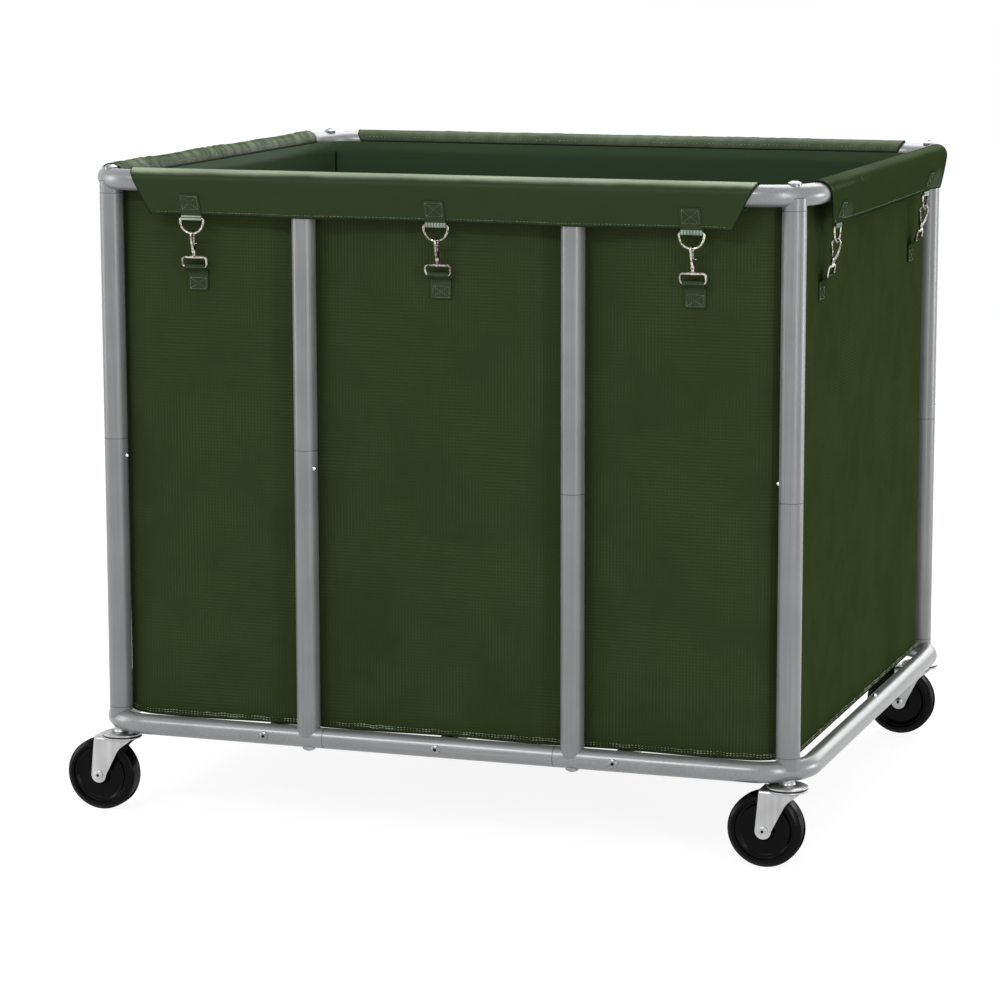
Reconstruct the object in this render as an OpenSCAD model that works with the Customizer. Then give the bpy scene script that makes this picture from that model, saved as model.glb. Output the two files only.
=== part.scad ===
// Laundry cart on wheels: a tube frame on four swivel casters carries a hung fabric bag.
// Millimetres, +Z up, +X along the length, front towards -Y.
// The origin is on the floor, at the middle of the footprint.

/* [Tube frame] */
// Distance between the axes of the two short rails
rail_length = 1000; // [800:10:1300]
// Distance between the axes of the two long rails
rail_width = 850; // [600:10:1000]
// Height from the axis of the bottom ring to the axis of the top ring
ring_spacing = 755; // [500:5:1000]
// Outer diameter of the ring tube
rail_d = 28.6; // [25:0.2:30]
// Wall of the ring tube
rail_wall = 1.5; // [1:0.1:2]
// Bend radius of the ring corners, to the tube axis
bend_r = 70; // [60:1:100]
// Outer diameter of the posts
post_d = 32; // [30:0.5:36]
// Wall of the post tubes
post_wall = 1.5; // [1:0.1:2]
// Distance between the two middle posts of a long side
mid_post_spacing = 378; // [340:2:460]
// Full-size length of the tube in the middle of each long rail
middle_tube_length = 330; // [260:2:334]
// Distance from the middle of a short rail back to its tube joint
side_joint_back = 32; // [0:1:60]
// Distance from the middle of a post to its tube joint
post_joint_offset = 20; // [0:1:60]
// Length of the reduced tube end that plugs into the next tube
plug_length = 50; // [40:1:60]
// Distance from the rail axis to the tip of a post's saddle cut
saddle_tip = 3; // [2:0.5:6]

/* [Cross tubes] */
// Number of cross tubes under the bag
cross_count = 3; // [1:2:3]
// Distance between neighbouring cross tubes
cross_spacing = 250; // [235:5:290]
// Outer diameter of a cross tube
cross_d = 22; // [18:0.5:25]
// Wall of a cross tube
cross_wall = 1.5; // [1:0.1:2]

/* [Snap buttons] */
// Diameter of a snap button
button_d = 7; // [5:0.5:8]
// Distance from a tube joint to its snap button
button_setback = 24; // [18:1:30]
// How far a button is pushed in to free the joint
button_travel = 4; // [3:0.1:4.5]

/* [Fasteners] */
// Diameter of the frame bolts
bolt_d = 8; // [6:0.5:8]
// Width of a dome head
dome_head_d = 18; // [15:0.5:20]
// Height of a dome head above the tube
dome_head_h = 5; // [3:0.5:6]
// Diameter of the cross tube screws
screw_d = 6; // [5:0.5:7]
// Width of a cross tube screw's head
screw_head_d = 12; // [10:0.5:14]
// Length of the threaded plugs in the post ends
thread_plug_length = 22; // [15:1:30]

/* [Casters] */
// Wheel diameter
wheel_d = 102; // [80:1:125]
// Wheel width over the rims
wheel_w = 32; // [24:1:40]
// Distance that the axle trails behind the swivel axis
caster_trail = 28; // [20:1:35]
// Thickness of the fork's steel sheet
fork_sheet = 3; // [2.5:0.1:4]
// Radius of the fork's crown disc
crown_r = 30; // [28:0.5:34]
// Radius of the raceway cover above the fork
raceway_r = 27; // [25:0.5:27.5]
// Height of the raceway cover
raceway_h = 5; // [5:0.1:8]
// Height of the collar between the raceway cover and the ring
collar_h = 3.1; // [2:0.1:8]
// Diameter of the caster stem
stem_d = 12; // [10:0.5:13]
// Diameter of the axle bolt
axle_d = 8; // [6:0.5:9]
// Outer diameter of the sleeve that the wheel turns on
sleeve_d = 12; // [11:0.5:14]
// Diameter of a swivel bearing ball
ball_d = 4.4; // [3:0.1:4.6]
// Number of balls in each swivel bearing
ball_count = 12; // [8:1:14]

/* [Fabric bag] */
// Fabric thickness
fabric_t = 2; // [1.5:0.1:2.5]
// Distance from the rail axis in to the outer face of the bag's walls
bag_inset = 17.5; // [17.5:0.1:20]
// Outer corner radius of the bag
bag_corner_r = 56; // [54:1:80]
// Depth of the flaps below the rail axis
flap_drop = 44; // [38:1:60]
// Slope of the flaps' lower part, inwards from upright
flap_lean = 18; // [12:1:22]
// Distance from the end of a flap to the corner of the ring, along its top
flap_end_top = 63; // [60:1:90]
// Distance from the end of a flap to the corner of the ring, along its hem
flap_end_hem = 94; // [92:1:120]
// Depth of the seam that joins a flap to the bag's wall
seam_depth = 22; // [10:1:40]

/* [Snap hooks] */
// Distance of the outer hooks from the middle of a long side
long_hook_reach = 350; // [300:5:380]
// Distance of the hooks from the middle of a short side
short_hook_reach = 270; // [150:5:290]
// Width of the webbing tabs
tab_w = 29; // [20:1:30]
// Thickness of the webbing
tab_t = 1.6; // [1.2:0.1:2]
// Wire diameter of the D-rings and hooks
wire_d = 2.8; // [2.4:0.1:3]
// Inside width of a D-ring and of a hook's base loop
ring_inside_w = 31; // [31:1:36]
// Length of a hook from the top of its arch to its barrel
hook_length = 33; // [30:1:38]
// Inside height of a hook's base loop
loop_h = 10; // [8:0.5:14]
// Height of the sewn-on part of a lower tab
lower_tab_h = 25; // [20:1:40]
// How far a hook's trigger swings in, in degrees
trigger_swing = 18; // [10:1:20]

/* [Hidden] */
$fn = 64;
rail_r = rail_d / 2;
rail_bore_r = rail_r - rail_wall;
post_r = post_d / 2;
post_bore_r = post_r - post_wall;
cross_r = cross_d / 2;
cross_bore_r = cross_r - cross_wall;
wheel_r = wheel_d / 2;
bolt_r = bolt_d / 2;
screw_r = screw_d / 2;
stem_r = stem_d / 2;
axle_r = axle_d / 2;
sleeve_r = sleeve_d / 2;
ball_r = ball_d / 2;
button_r = button_d / 2;
wire_r = wire_d / 2;

joint_gap = 0.3;         // between the two tubes of a post
plug_gap = 0.1;          // between a plugged tube end and the tube around it
seat_gap = 0.1;          // between a cut saddle and the rail it sits on
hole_gap = 0.2;          // around a bolt in its hole
button_gap = 0.1;        // around a button in its hole
running_gap = 0.06;      // around a turning sleeve or king pin
thread_gap = 0.05;       // around a bolt in its thread
fabric_gap = 0.3;        // between fabric and what it lies on
side_gap = 0.3;          // between a wheel hub and the fork

half_l = rail_length / 2;
half_w = rail_width / 2;
corner_in = bend_r * (1 - cos(45));       // from the ring's sharp corner in to a bend's middle
post_x = half_l - corner_in;
post_y = half_w - corner_in;
mid_post_x = mid_post_spacing / 2;

// Heights, from the floor up
wheel_top_gap = 2;
bearing_gap = 0.6;
axle_z = wheel_r;
crown_z = wheel_d + wheel_top_gap;
race_z = crown_z + fork_sheet + bearing_gap;
collar_z = race_z + raceway_h;
low_z = collar_z + collar_h + rail_r;     // axis of the bottom ring
high_z = low_z + ring_spacing;            // axis of the top ring
mid_z = low_z + ring_spacing / 2;

// Fabric around the top rail: the inner side touches the bag, the outer side leans in
flap_in_r = bag_inset - fabric_t;
flap_out_r = bag_inset;
flap_steps = 22;                          // flat strips that a flap goes over its rail in
post_fold_r = post_r + fabric_gap;
floor_z = low_z + cross_r + fabric_gap;

// The origin is at the middle of the footprint, between the wheels' and the flap's reach
frame_x = (post_x + caster_trail + wheel_r - half_l - flap_out_r) / 2;

// Casters
wheel_side_gap = 1.5;                     // between a wheel's rims and the fork
leg_sheet_gain = 0.5;                     // how much thinner the legs are than the crown
fork_in = wheel_w / 2 + wheel_side_gap;
fork_out = fork_in + fork_sheet - leg_sheet_gain;
leg_end_r = 11;
leg_back = caster_trail + 6;
leg_front = 8;
leg_fillet = 10;
hub_half = fork_in - side_gap;
hub_wall = 7;
tread_edge_r = 4;
king_pin_head_r = 9;
king_pin_head_h = 2.5;
collar_wall = 4;
ball_circle_r = 18;
race_mid_z = (crown_z + fork_sheet + race_z) / 2;
axle_head_r = axle_r + 2.5;
axle_head_edge = 1;
axle_head_h = 2.6;
nut_r = axle_r + 3;
nut_h = 5;

// Bolts, plugs and buttons
screw_head_h = 3;
plug_set_back = 0.4;                      // between a rail and the plug in the tube that meets it
bolt_end_back = 2;                        // from a bolt's end to the end of its plug
button_flange = 1;
button_flange_t = 1.6;
button_flange_gap = 0.3;

// Snap hooks, measured from the top rail's axis: +out is outwards, +down is down
ring_bar_below = 5;
ring_bar_out = lean_out(flap_in_r + fabric_t / 2, -flap_drop);
ring_bar_down = flap_drop + ring_bar_below;
ring_arc_r = ring_inside_w / 2 + wire_r;
ring_drop = 4;                            // from a D-ring's bar to its half round
ring_bend_r = 3;
hook_gap = 0.2;                           // between a hook and its D-ring
hook_lean = 10;                           // degrees that a hook leans in
arch_r = 5.5;
arch_end_h = 2.5;                         // straight end of the arch, where the gate closes
hook_top_down = ring_bar_down + ring_drop + ring_arc_r - wire_d - hook_gap;
barrel_r = 3.2;
barrel_h = 8;
barrel_round_h = barrel_h / 2;
block_h = 5.5;                            // square part of the barrel, which holds the gate
block_in = 1.2;
shank_low = -hook_length + 0.75 * barrel_h;
shank_in = 0.8;
swivel_r = 1.3;
swivel_reach = 2.5;
loop_bend_r = 3;
loop_top = hook_length + 3;
loop_low = loop_top + loop_h + wire_d;
gate_t = 2.8;
gate_slot_floor = 0.9;
gate_slot_gap = 0.1;
gate_pin_y = 2.4;
gate_pin_z = -hook_length + barrel_h - 1.5;
gate_pin_r = 0.9;
gate_heel_r = 1.9;
gate_gap = 0.3;                           // between the gate's tip and the arch
stud_r = 1.4;
stud_length = 3.5;
tab_loop_r = wire_r + 0.15;
tab_top_down = flap_drop * 0.37;
tab_fall = 30;                            // slope of a lower tab, from its hook in to the bag

// How far out from the rail's axis the flap's leaning plane lies at a height, at a radius.
function lean_out(radius, z) = (radius + z * sin(flap_lean)) / cos(flap_lean);

hook_places = [
    for (x = [-long_hook_reach, 0, long_hook_reach]) [0, x],
    for (y = [-short_hook_reach, short_hook_reach]) [90, y],
    for (x = [-long_hook_reach, 0, long_hook_reach]) [180, x],
    for (y = [-short_hook_reach, short_hook_reach]) [270, y]
];
corners = [[-1, -1], [1, -1], [-1, 1], [1, 1]];

// ---- Places ----

// Puts its children at a ring corner, with the bend's centre at the origin and +X, +Y outwards.
module at_corner(side_x, side_y) {
    translate([frame_x + side_x * (half_l - bend_r), side_y * (half_w - bend_r), 0])
        mirror([side_x < 0 ? 1 : 0, 0, 0])
            mirror([0, side_y < 0 ? 1 : 0, 0])
                children();
}

// Puts its children on a corner post's axis, at the floor.
module at_caster(side_x, side_y) {
    translate([frame_x + side_x * post_x, side_y * post_y, 0])
        children();
}

// Puts its children on the top rail's axis at a hook, with -Y outwards.
module at_hook(place) {
    side = place[0] % 180 == 0 ? half_w : half_l;
    translate([frame_x, 0, high_z])
        rotate([0, 0, place[0]])
            translate([place[1], -side, 0])
                children();
}

// ---- Basic shapes ----

module pipe(length, outer, inner) {
    linear_extrude(length)
        difference() {
            circle(outer);
            circle(inner);
        }
}

// A quarter bend about the origin, from +X round to +Y.
module bend(outer, inner) {
    rotate_extrude(angle = 90)
        translate([bend_r, 0])
            difference() {
                circle(outer);
                if (inner > 0) circle(inner);
            }
}

// A solid bar along X, centred on the origin: the outside of a straight rail.
module rail_bar(radius, length) {
    translate([-length / 2, 0, 0])
        rotate([0, 90, 0])
            cylinder(h = length, r = radius);
}

// The outside of a ring bend, with its middle at the origin, as a corner post meets it.
module bend_at_post(radius) {
    translate([corner_in - bend_r, corner_in - bend_r, 0])
        bend(radius, 0);
}

module rounded_rect(width, depth, radius) {
    square([width - 2 * radius, depth], center = true);
    square([width, depth - 2 * radius], center = true);
    for (x = [-1, 1], y = [-1, 1])
        translate([x * (width / 2 - radius), y * (depth / 2 - radius)])
            circle(radius);
}

// ---- Rings ----

// One corner tube of a ring. A front corner's short leg takes in the back corner's reduced end.
module ring_corner(is_back, is_low) {
    long_leg = half_l - bend_r - middle_tube_length / 2;
    short_leg = half_w - bend_r + (is_back ? -side_joint_back : side_joint_back);
    button_y = half_w - bend_r + (is_back ? -1 : 1) * (side_joint_back - button_setback);
    button_turn = is_low ? 0 : 180;
    post_hole_r = (is_low ? stem_r : bolt_r) + hole_gap;
    difference() {
        union() {
            bend(rail_r, rail_bore_r);
            translate([0, bend_r, 0])
                rotate([0, -90, 0])
                    pipe(long_leg, rail_r, rail_bore_r);
            translate([bend_r, 0, 0])
                rotate([90, 0, 0])
                    pipe(short_leg, rail_r, rail_bore_r);
            if (is_back)
                translate([bend_r, -short_leg + rail_wall, 0])
                    rotate([90, 0, 0])
                        pipe(plug_length + rail_wall, rail_bore_r - plug_gap,
                             rail_bore_r - plug_gap - rail_wall);
            if (is_back)
                translate([bend_r, -short_leg + 2 * rail_wall, 0])
                    rotate([90, 0, 0])
                        pipe(2 * rail_wall, rail_bore_r + plug_gap, rail_bore_r - plug_gap - rail_wall);
        }
        translate([bend_r * cos(45), bend_r * sin(45), -rail_d])
            cylinder(h = 2 * rail_d, r = post_hole_r);
        translate([-(half_l - bend_r - mid_post_x), bend_r, -rail_d])
            cylinder(h = 2 * rail_d, r = bolt_r + hole_gap);
        translate([bend_r, -button_y, 0])
            rotate([button_turn, 0, 0])
                cylinder(h = rail_d, r = button_r + button_gap);
        if (is_low && cross_count > 1)
            translate([-(half_l - bend_r - cross_spacing), bend_r - rail_d, 0])
                rotate([-90, 0, 0])
                    cylinder(h = 2 * rail_d, r = screw_r + hole_gap);
    }
}

module top_corner(side_x, side_y) {
    color("silver")
        translate([0, 0, high_z])
            at_corner(side_x, side_y)
                ring_corner(side_y > 0, false);
}

module bottom_corner(side_x, side_y) {
    color("silver")
        translate([0, 0, low_z])
            at_corner(side_x, side_y)
                ring_corner(side_y > 0, true);
}

// The straight tube in the middle of a long rail, with a reduced end each way.
module middle_tube(is_low) {
    reduced_r = rail_bore_r - plug_gap;
    difference() {
        rotate([0, 90, 0]) {
            translate([0, 0, -middle_tube_length / 2])
                pipe(middle_tube_length, rail_r, rail_bore_r);
            for (end = [0, 1])
                mirror([0, 0, end]) {
                    translate([0, 0, middle_tube_length / 2 - 2 * rail_wall])
                        pipe(2 * rail_wall, rail_r, reduced_r - rail_wall);
                    translate([0, 0, middle_tube_length / 2 - rail_wall])
                        pipe(plug_length + rail_wall, reduced_r, reduced_r - rail_wall);
                }
        }
        for (x = [-mid_post_x, mid_post_x])
            translate([x, 0, -rail_d])
                cylinder(h = 2 * rail_d, r = bolt_r + hole_gap);
        if (is_low)
            translate([0, -rail_d, 0])
                rotate([-90, 0, 0])
                    cylinder(h = 2 * rail_d, r = screw_r + hole_gap);
    }
}

module middle_tubes() {
    color("silver")
        for (y = [-half_w, half_w], z = [low_z, high_z])
            translate([frame_x, y, z])
                middle_tube(z == low_z);
}

// ---- Posts ----

// A post of two tubes, drawn with its long, wide-mouthed tube below. is_turned puts it on top.
// The snap button's hole faces button_turn degrees round from +X.
module post_tubes(is_turned, button_turn) {
    joint = ring_spacing / 2 + post_joint_offset;
    reduced_r = post_bore_r - plug_gap;
    translate([0, 0, is_turned ? ring_spacing : 0])
        mirror([0, 0, is_turned ? 1 : 0])
            difference() {
                union() {
                    translate([0, 0, saddle_tip])
                        pipe(joint - joint_gap - saddle_tip, post_r, post_bore_r);
                    translate([0, 0, joint])
                        pipe(ring_spacing - saddle_tip - joint, post_r, post_bore_r);
                    translate([0, 0, joint])
                        pipe(2 * post_wall, post_r, reduced_r - post_wall);
                    translate([0, 0, joint - plug_length])
                        pipe(plug_length + post_wall, reduced_r, reduced_r - post_wall);
                }
                translate([0, 0, joint - button_setback])
                    rotate([0, 90, button_turn])
                        cylinder(h = post_d, r = button_r + button_gap);
            }
}

// A corner post, cut to sit on the bends of both rings.
module corner_post(side_x, side_y, button_turn) {
    color("silver")
        at_caster(side_x, side_y)
            difference() {
                translate([0, 0, low_z])
                    post_tubes(side_x > 0, button_turn);
                for (z = [low_z, high_z])
                    translate([0, 0, z])
                        mirror([side_x < 0 ? 1 : 0, 0, 0])
                            mirror([0, side_y < 0 ? 1 : 0, 0])
                                bend_at_post(rail_r + seat_gap);
            }
}

// A middle post, cut to sit on the long rails.
module mid_post(side_x, side_y, button_turn) {
    color("silver")
        translate([frame_x + side_x * mid_post_x, side_y * half_w, low_z])
            difference() {
                post_tubes(side_x > 0, button_turn);
                for (z = [0, ring_spacing])
                    translate([0, 0, z])
                        rail_bar(rail_r + seat_gap, 2 * post_d);
            }
}

module cross_tubes() {
    color("silver")
        for (i = [0:cross_count - 1])
            translate([frame_x + (i - (cross_count - 1) / 2) * cross_spacing, 0, low_z])
                difference() {
                    translate([0, half_w, 0])
                        rotate([90, 0, 0])
                            pipe(rail_width, cross_r, cross_bore_r);
                    for (y = [-half_w, half_w])
                        translate([0, y, 0])
                            rail_bar(rail_r + seat_gap, 2 * cross_d);
                }
}

// ---- Fasteners ----

// The cap of a ball: width wide and height high, standing on z = 0.
module dome(width, height) {
    ball = (pow(width / 2, 2) + pow(height, 2)) / (2 * height);
    rotate_extrude()
        intersection() {
            translate([0, height - ball])
                circle(ball);
            square([width / 2, height]);
        }
}

// A dome-headed bolt, pointing down from the rail axis at z = 0; children are the rail's outside.
module dome_bolt(shank_r, head_d, head_h, reach) {
    skirt = rail_r - sqrt(pow(rail_r, 2) - pow(head_d / 2, 2));
    edge_h = head_h * 0.3;
    difference() {
        union() {
            translate([0, 0, rail_r - skirt])
                cylinder(h = skirt + edge_h, r = head_d / 2);
            translate([0, 0, rail_r + edge_h])
                dome(head_d, head_h - edge_h);
        }
        children();
    }
    translate([0, 0, -reach])
        cylinder(h = rail_r + reach + edge_h, r = shank_r);
}

// A low saddle-headed bolt that hides under the fabric on a straight rail.
module saddle_bolt(reach) {
    intersection() {
        cylinder(h = rail_d, r = dome_head_d / 2 - 1);
        difference() {
            rail_bar(flap_in_r - fabric_gap, 2 * dome_head_d);
            rail_bar(rail_r + thread_gap, 3 * dome_head_d);
        }
    }
    translate([0, 0, -reach])
        cylinder(h = rail_r + reach + thread_gap * 2, r = bolt_r);
}

// A threaded plug pressed into a tube end, just past the rail axis at z = 0.
module thread_plug(outer, bore, length) {
    translate([0, 0, rail_r + plug_set_back])
        pipe(length, outer, bore + thread_gap);
}

module frame_fasteners() {
    bolt_reach = rail_r + thread_plug_length - bolt_end_back;
    color("gainsboro") {
        for (c = corners)
            at_caster(c[0], c[1])
                translate([0, 0, high_z]) {
                    dome_bolt(bolt_r, dome_head_d, dome_head_h, bolt_reach)
                        mirror([c[0] < 0 ? 1 : 0, 0, 0])
                            mirror([0, c[1] < 0 ? 1 : 0, 0])
                                bend_at_post(rail_r + thread_gap);
                    mirror([0, 0, 1])
                        thread_plug(post_bore_r - plug_gap, bolt_r, thread_plug_length);
                    translate([0, 0, -ring_spacing])
                        thread_plug(post_bore_r - plug_gap, stem_r, thread_plug_length);
                }
        for (x = [-mid_post_x, mid_post_x], y = [-half_w, half_w])
            translate([frame_x + x, y, 0]) {
                translate([0, 0, high_z]) {
                    saddle_bolt(bolt_reach);
                    mirror([0, 0, 1])
                        thread_plug(post_bore_r - plug_gap, bolt_r, thread_plug_length);
                }
                translate([0, 0, low_z]) {
                    thread_plug(post_bore_r - plug_gap, bolt_r, thread_plug_length);
                    mirror([0, 0, 1])
                        dome_bolt(bolt_r, dome_head_d, dome_head_h, bolt_reach)
                            rail_bar(rail_r + thread_gap, 2 * dome_head_d);
                }
            }
        for (i = [0:cross_count - 1], side = [0, 180])
            translate([frame_x + (i - (cross_count - 1) / 2) * cross_spacing, 0, low_z])
                rotate([0, 0, side])
                    translate([0, -half_w, 0])
                        rotate([90, 0, 0]) {
                            dome_bolt(screw_r, screw_head_d, screw_head_h, bolt_reach)
                                rail_bar(rail_r + thread_gap, 2 * screw_head_d);
                            mirror([0, 0, 1])
                                thread_plug(cross_bore_r - plug_gap, screw_r, thread_plug_length);
                        }
    }
}

// A snap button on a tube's axis, pointing along +X out of a tube of the given radius.
module snap_button(tube_r, bore_r) {
    flange_r = button_r + button_flange;
    flange_top = sqrt(pow(bore_r, 2) - pow(flange_r, 2)) - button_flange_gap;
    color("white")
        rotate([0, 90, 0]) {
            translate([0, 0, flange_top - button_flange_t])
                cylinder(h = button_flange_t, r = flange_r);
            translate([0, 0, flange_top - 1])
                cylinder(h = tube_r - flange_top + 1, r = button_r);
            translate([0, 0, tube_r])
                sphere(button_r);
        }
}

module post_button(x, y, is_turned, button_turn) {
    up = (is_turned ? -1 : 1) * (post_joint_offset - button_setback);
    translate([frame_x + x, y, mid_z + up])
        rotate([0, 0, button_turn])
            snap_button(post_r, post_bore_r - plug_gap - post_wall);
}

module rail_button(side_x, is_low) {
    translate([frame_x + side_x * half_l, side_joint_back - button_setback, is_low ? low_z : high_z])
        rotate([0, is_low ? -90 : 90, 0])
            snap_button(rail_r, rail_bore_r - plug_gap - rail_wall);
}

// ---- Casters ----

// The fixed half of each caster: threaded stem, collar, raceway cover and riveted king pin.
module caster_stems() {
    stem_top = low_z + rail_r + thread_plug_length - bolt_end_back;
    color("silver")
        for (c = corners)
            at_caster(c[0], c[1])
                difference() {
                    union() {
                        translate([0, 0, crown_z - bearing_gap - king_pin_head_h])
                            cylinder(h = king_pin_head_h, r = king_pin_head_r);
                        translate([0, 0, crown_z - bearing_gap - 1])
                            cylinder(h = stem_top - crown_z + bearing_gap + 1, r = stem_r);
                        translate([0, 0, race_z])
                            cylinder(h = raceway_h / 2, r = raceway_r);
                        translate([0, 0, race_z + raceway_h / 2])
                            cylinder(h = raceway_h / 2, r1 = raceway_r, r2 = raceway_r / 2);
                        difference() {
                            translate([0, 0, collar_z - 0.5])
                                cylinder(h = collar_h + rail_r / 2, r = stem_r + collar_wall);
                            translate([0, 0, low_z])
                                mirror([c[0] < 0 ? 1 : 0, 0, 0])
                                    mirror([0, c[1] < 0 ? 1 : 0, 0])
                                        bend_at_post(rail_r + thread_gap);
                        }
                    }
                    translate([0, 0, race_mid_z])
                        ball_groove();
                }
}

module ball_groove() {
    rotate_extrude()
        translate([ball_circle_r, 0])
            circle(ball_r + thread_gap);
}

module swivel_bearings() {
    color("white")
        for (c = corners)
            at_caster(c[0], c[1])
                for (i = [0:ball_count - 1])
                    rotate([0, 0, i * 360 / ball_count])
                        translate([ball_circle_r, 0, race_mid_z])
                            sphere(ball_r);
}

// The outline of a fork leg, as x against height.
module leg_outline() {
    slope = atan2(crown_z - axle_z, leg_front + caster_trail - leg_end_r);
    front_foot = [-caster_trail + leg_end_r * sin(slope), axle_z - leg_end_r * cos(slope)];
    polygon([
        [-leg_back, crown_z + fork_sheet],
        [leg_front + leg_fillet, crown_z + fork_sheet],
        [leg_front + leg_fillet, crown_z],
        [leg_front, crown_z],
        front_foot,
        [-caster_trail - leg_end_r, axle_z]
    ]);
    translate([-caster_trail, axle_z])
        circle(leg_end_r);
    difference() {
        translate([0, crown_z - leg_fillet])
            square([leg_front + leg_fillet, leg_fillet]);
        translate([leg_front + leg_fillet, crown_z - leg_fillet])
            circle(leg_fillet);
    }
}

module caster_fork(side_x, side_y) {
    color("silver")
        at_caster(side_x, side_y)
            difference() {
                union() {
                    translate([0, 0, crown_z])
                        linear_extrude(fork_sheet) {
                            circle(crown_r);
                            translate([-leg_back, -fork_out])
                                square([leg_back, 2 * fork_out]);
                        }
                    for (y = [-fork_in, fork_out])
                        translate([0, y, 0])
                            rotate([90, 0, 0])
                                linear_extrude(fork_out - fork_in)
                                    leg_outline();
                }
                translate([0, 0, crown_z - 1])
                    cylinder(h = fork_sheet + 2, r = stem_r + running_gap);
                translate([0, 0, race_mid_z])
                    ball_groove();
                translate([-caster_trail, wheel_w, axle_z])
                    rotate([90, 0, 0])
                        cylinder(h = 2 * wheel_w, r = axle_r + thread_gap);
            }
}

// The axle bolt with its nut, and the sleeve clamped between the fork legs.
module caster_axle(side_x, side_y) {
    color("gainsboro")
        at_caster(side_x, side_y)
            translate([-caster_trail, 0, axle_z])
                rotate([90, 0, 0]) {
                    translate([0, 0, -fork_out - nut_h - 1])
                        cylinder(h = 2 * fork_out + nut_h + 2, r = axle_r);
                    translate([0, 0, fork_out + thread_gap])
                        cylinder(h = axle_head_edge, r = axle_head_r);
                    translate([0, 0, fork_out + thread_gap + axle_head_edge])
                        dome(2 * axle_head_r, axle_head_h - axle_head_edge);
                    difference() {
                        translate([0, 0, -fork_out - nut_h - thread_gap])
                            cylinder(h = nut_h, r = nut_r, $fn = 6);
                        translate([0, 0, -fork_out - nut_h - 1])
                            cylinder(h = nut_h + 2, r = axle_r + thread_gap);
                    }
                    translate([0, 0, -fork_in + thread_gap])
                        pipe(2 * (fork_in - thread_gap), sleeve_r, axle_r + thread_gap);
                }
}

// Half of a wheel's section: radius against distance from its middle plane.
module wheel_outline() {
    shoulder = tread_edge_r;
    rim_in = wheel_r * 0.76;
    web = wheel_w * 0.3;
    bore = sleeve_r + running_gap;
    translate([bore, -web])
        square([wheel_r - shoulder - bore, 2 * web]);
    translate([rim_in, -wheel_w / 2])
        square([wheel_r - shoulder - rim_in, wheel_w]);
    translate([rim_in, -wheel_w / 2 + shoulder])
        square([wheel_r - rim_in, wheel_w - 2 * shoulder]);
    for (y = [-1, 1])
        translate([wheel_r - shoulder, y * (wheel_w / 2 - shoulder)])
            circle(shoulder);
    translate([bore, -hub_half])
        square([hub_wall, 2 * hub_half]);
}

module wheel(side_x, side_y) {
    color("black")
        at_caster(side_x, side_y)
            translate([-caster_trail, 0, axle_z])
                rotate([90, 0, 0])
                    rotate_extrude()
                        wheel_outline();
}

// ---- Fabric ----

module bag_body() {
    width = rail_length - 2 * bag_inset;
    depth = rail_width - 2 * bag_inset;
    color("darkolivegreen")
        translate([frame_x, 0, floor_z])
            difference() {
                linear_extrude(high_z - floor_z)
                    rounded_rect(width, depth, bag_corner_r);
                translate([0, 0, fabric_t])
                    linear_extrude(high_z)
                        rounded_rect(width - 2 * fabric_t, depth - 2 * fabric_t, bag_corner_r - fabric_t);
            }
}

// The section of a flap over its rail: x is inwards from the rail's axis and y is up.
module flap_section() {
    turn = (180 + flap_lean) / flap_steps;
    polygon(concat(
        [[flap_out_r, -seam_depth]],
        [for (i = [0:flap_steps]) flap_out_r * [cos(i * turn), sin(i * turn)]],
        [[-lean_out(flap_out_r, -flap_drop), -flap_drop], [-lean_out(flap_in_r, -flap_drop), -flap_drop]],
        [for (i = [flap_steps:-1:0]) flap_in_r * [cos(i * turn), sin(i * turn)]],
        [[flap_in_r, -seam_depth]]
    ));
}

// One flap, along X at a rail's axis, with the bag towards +Y, cut to slanted ends.
module flap(length) {
    top = length / 2 - flap_end_top;
    hem = length / 2 - flap_end_hem;
    slope = (top - hem) / (flap_out_r + flap_drop);
    intersection() {
        translate([-length / 2, 0, 0])
            rotate([90, 0, 90])
                linear_extrude(length)
                    flap_section();
        translate([0, 2 * flap_out_r, 0])
            rotate([90, 0, 0])
                linear_extrude(4 * flap_out_r)
                    polygon([
                        [-top - slope, flap_out_r + 1], [top + slope, flap_out_r + 1],
                        [hem - slope * flap_drop, -2 * flap_drop], [-hem + slope * flap_drop, -2 * flap_drop]
                    ]);
    }
}

// A long flap folds out around each middle post that it passes, in a box pleat.
module long_flap() {
    fold_h = flap_drop - saddle_tip;
    pleat = post_fold_r + fabric_t;
    difference() {
        union() {
            flap(rail_length);
            for (x = [-mid_post_x, mid_post_x])
                translate([x - pleat, -pleat, -flap_drop])
                    cube([2 * pleat, pleat - flap_in_r / 2, fold_h]);
        }
        for (x = [-mid_post_x, mid_post_x])
            translate([x - post_fold_r, -post_fold_r, -2 * flap_drop])
                cube([2 * post_fold_r, 2 * post_fold_r, 2 * flap_drop - saddle_tip + fabric_gap]);
        rail_bar(flap_in_r - fabric_gap, rail_length);
    }
}

module bag_flaps() {
    color("darkolivegreen")
        translate([frame_x, 0, high_z]) {
            for (turn = [0, 180])
                rotate([0, 0, turn])
                    translate([0, -half_w, 0])
                        long_flap();
            for (turn = [90, 270])
                rotate([0, 0, turn])
                    translate([0, -half_l, 0])
                        flap(rail_width);
        }
}

// ---- Snap hooks ----

// A webbing loop round a bar, at a point out from and up from the rail's axis.
module webbing_eye(out, up) {
    translate([-tab_w / 2, -out, up])
        rotate([90, 0, 90])
            pipe(tab_w, tab_loop_r + tab_t, tab_loop_r);
}

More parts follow.
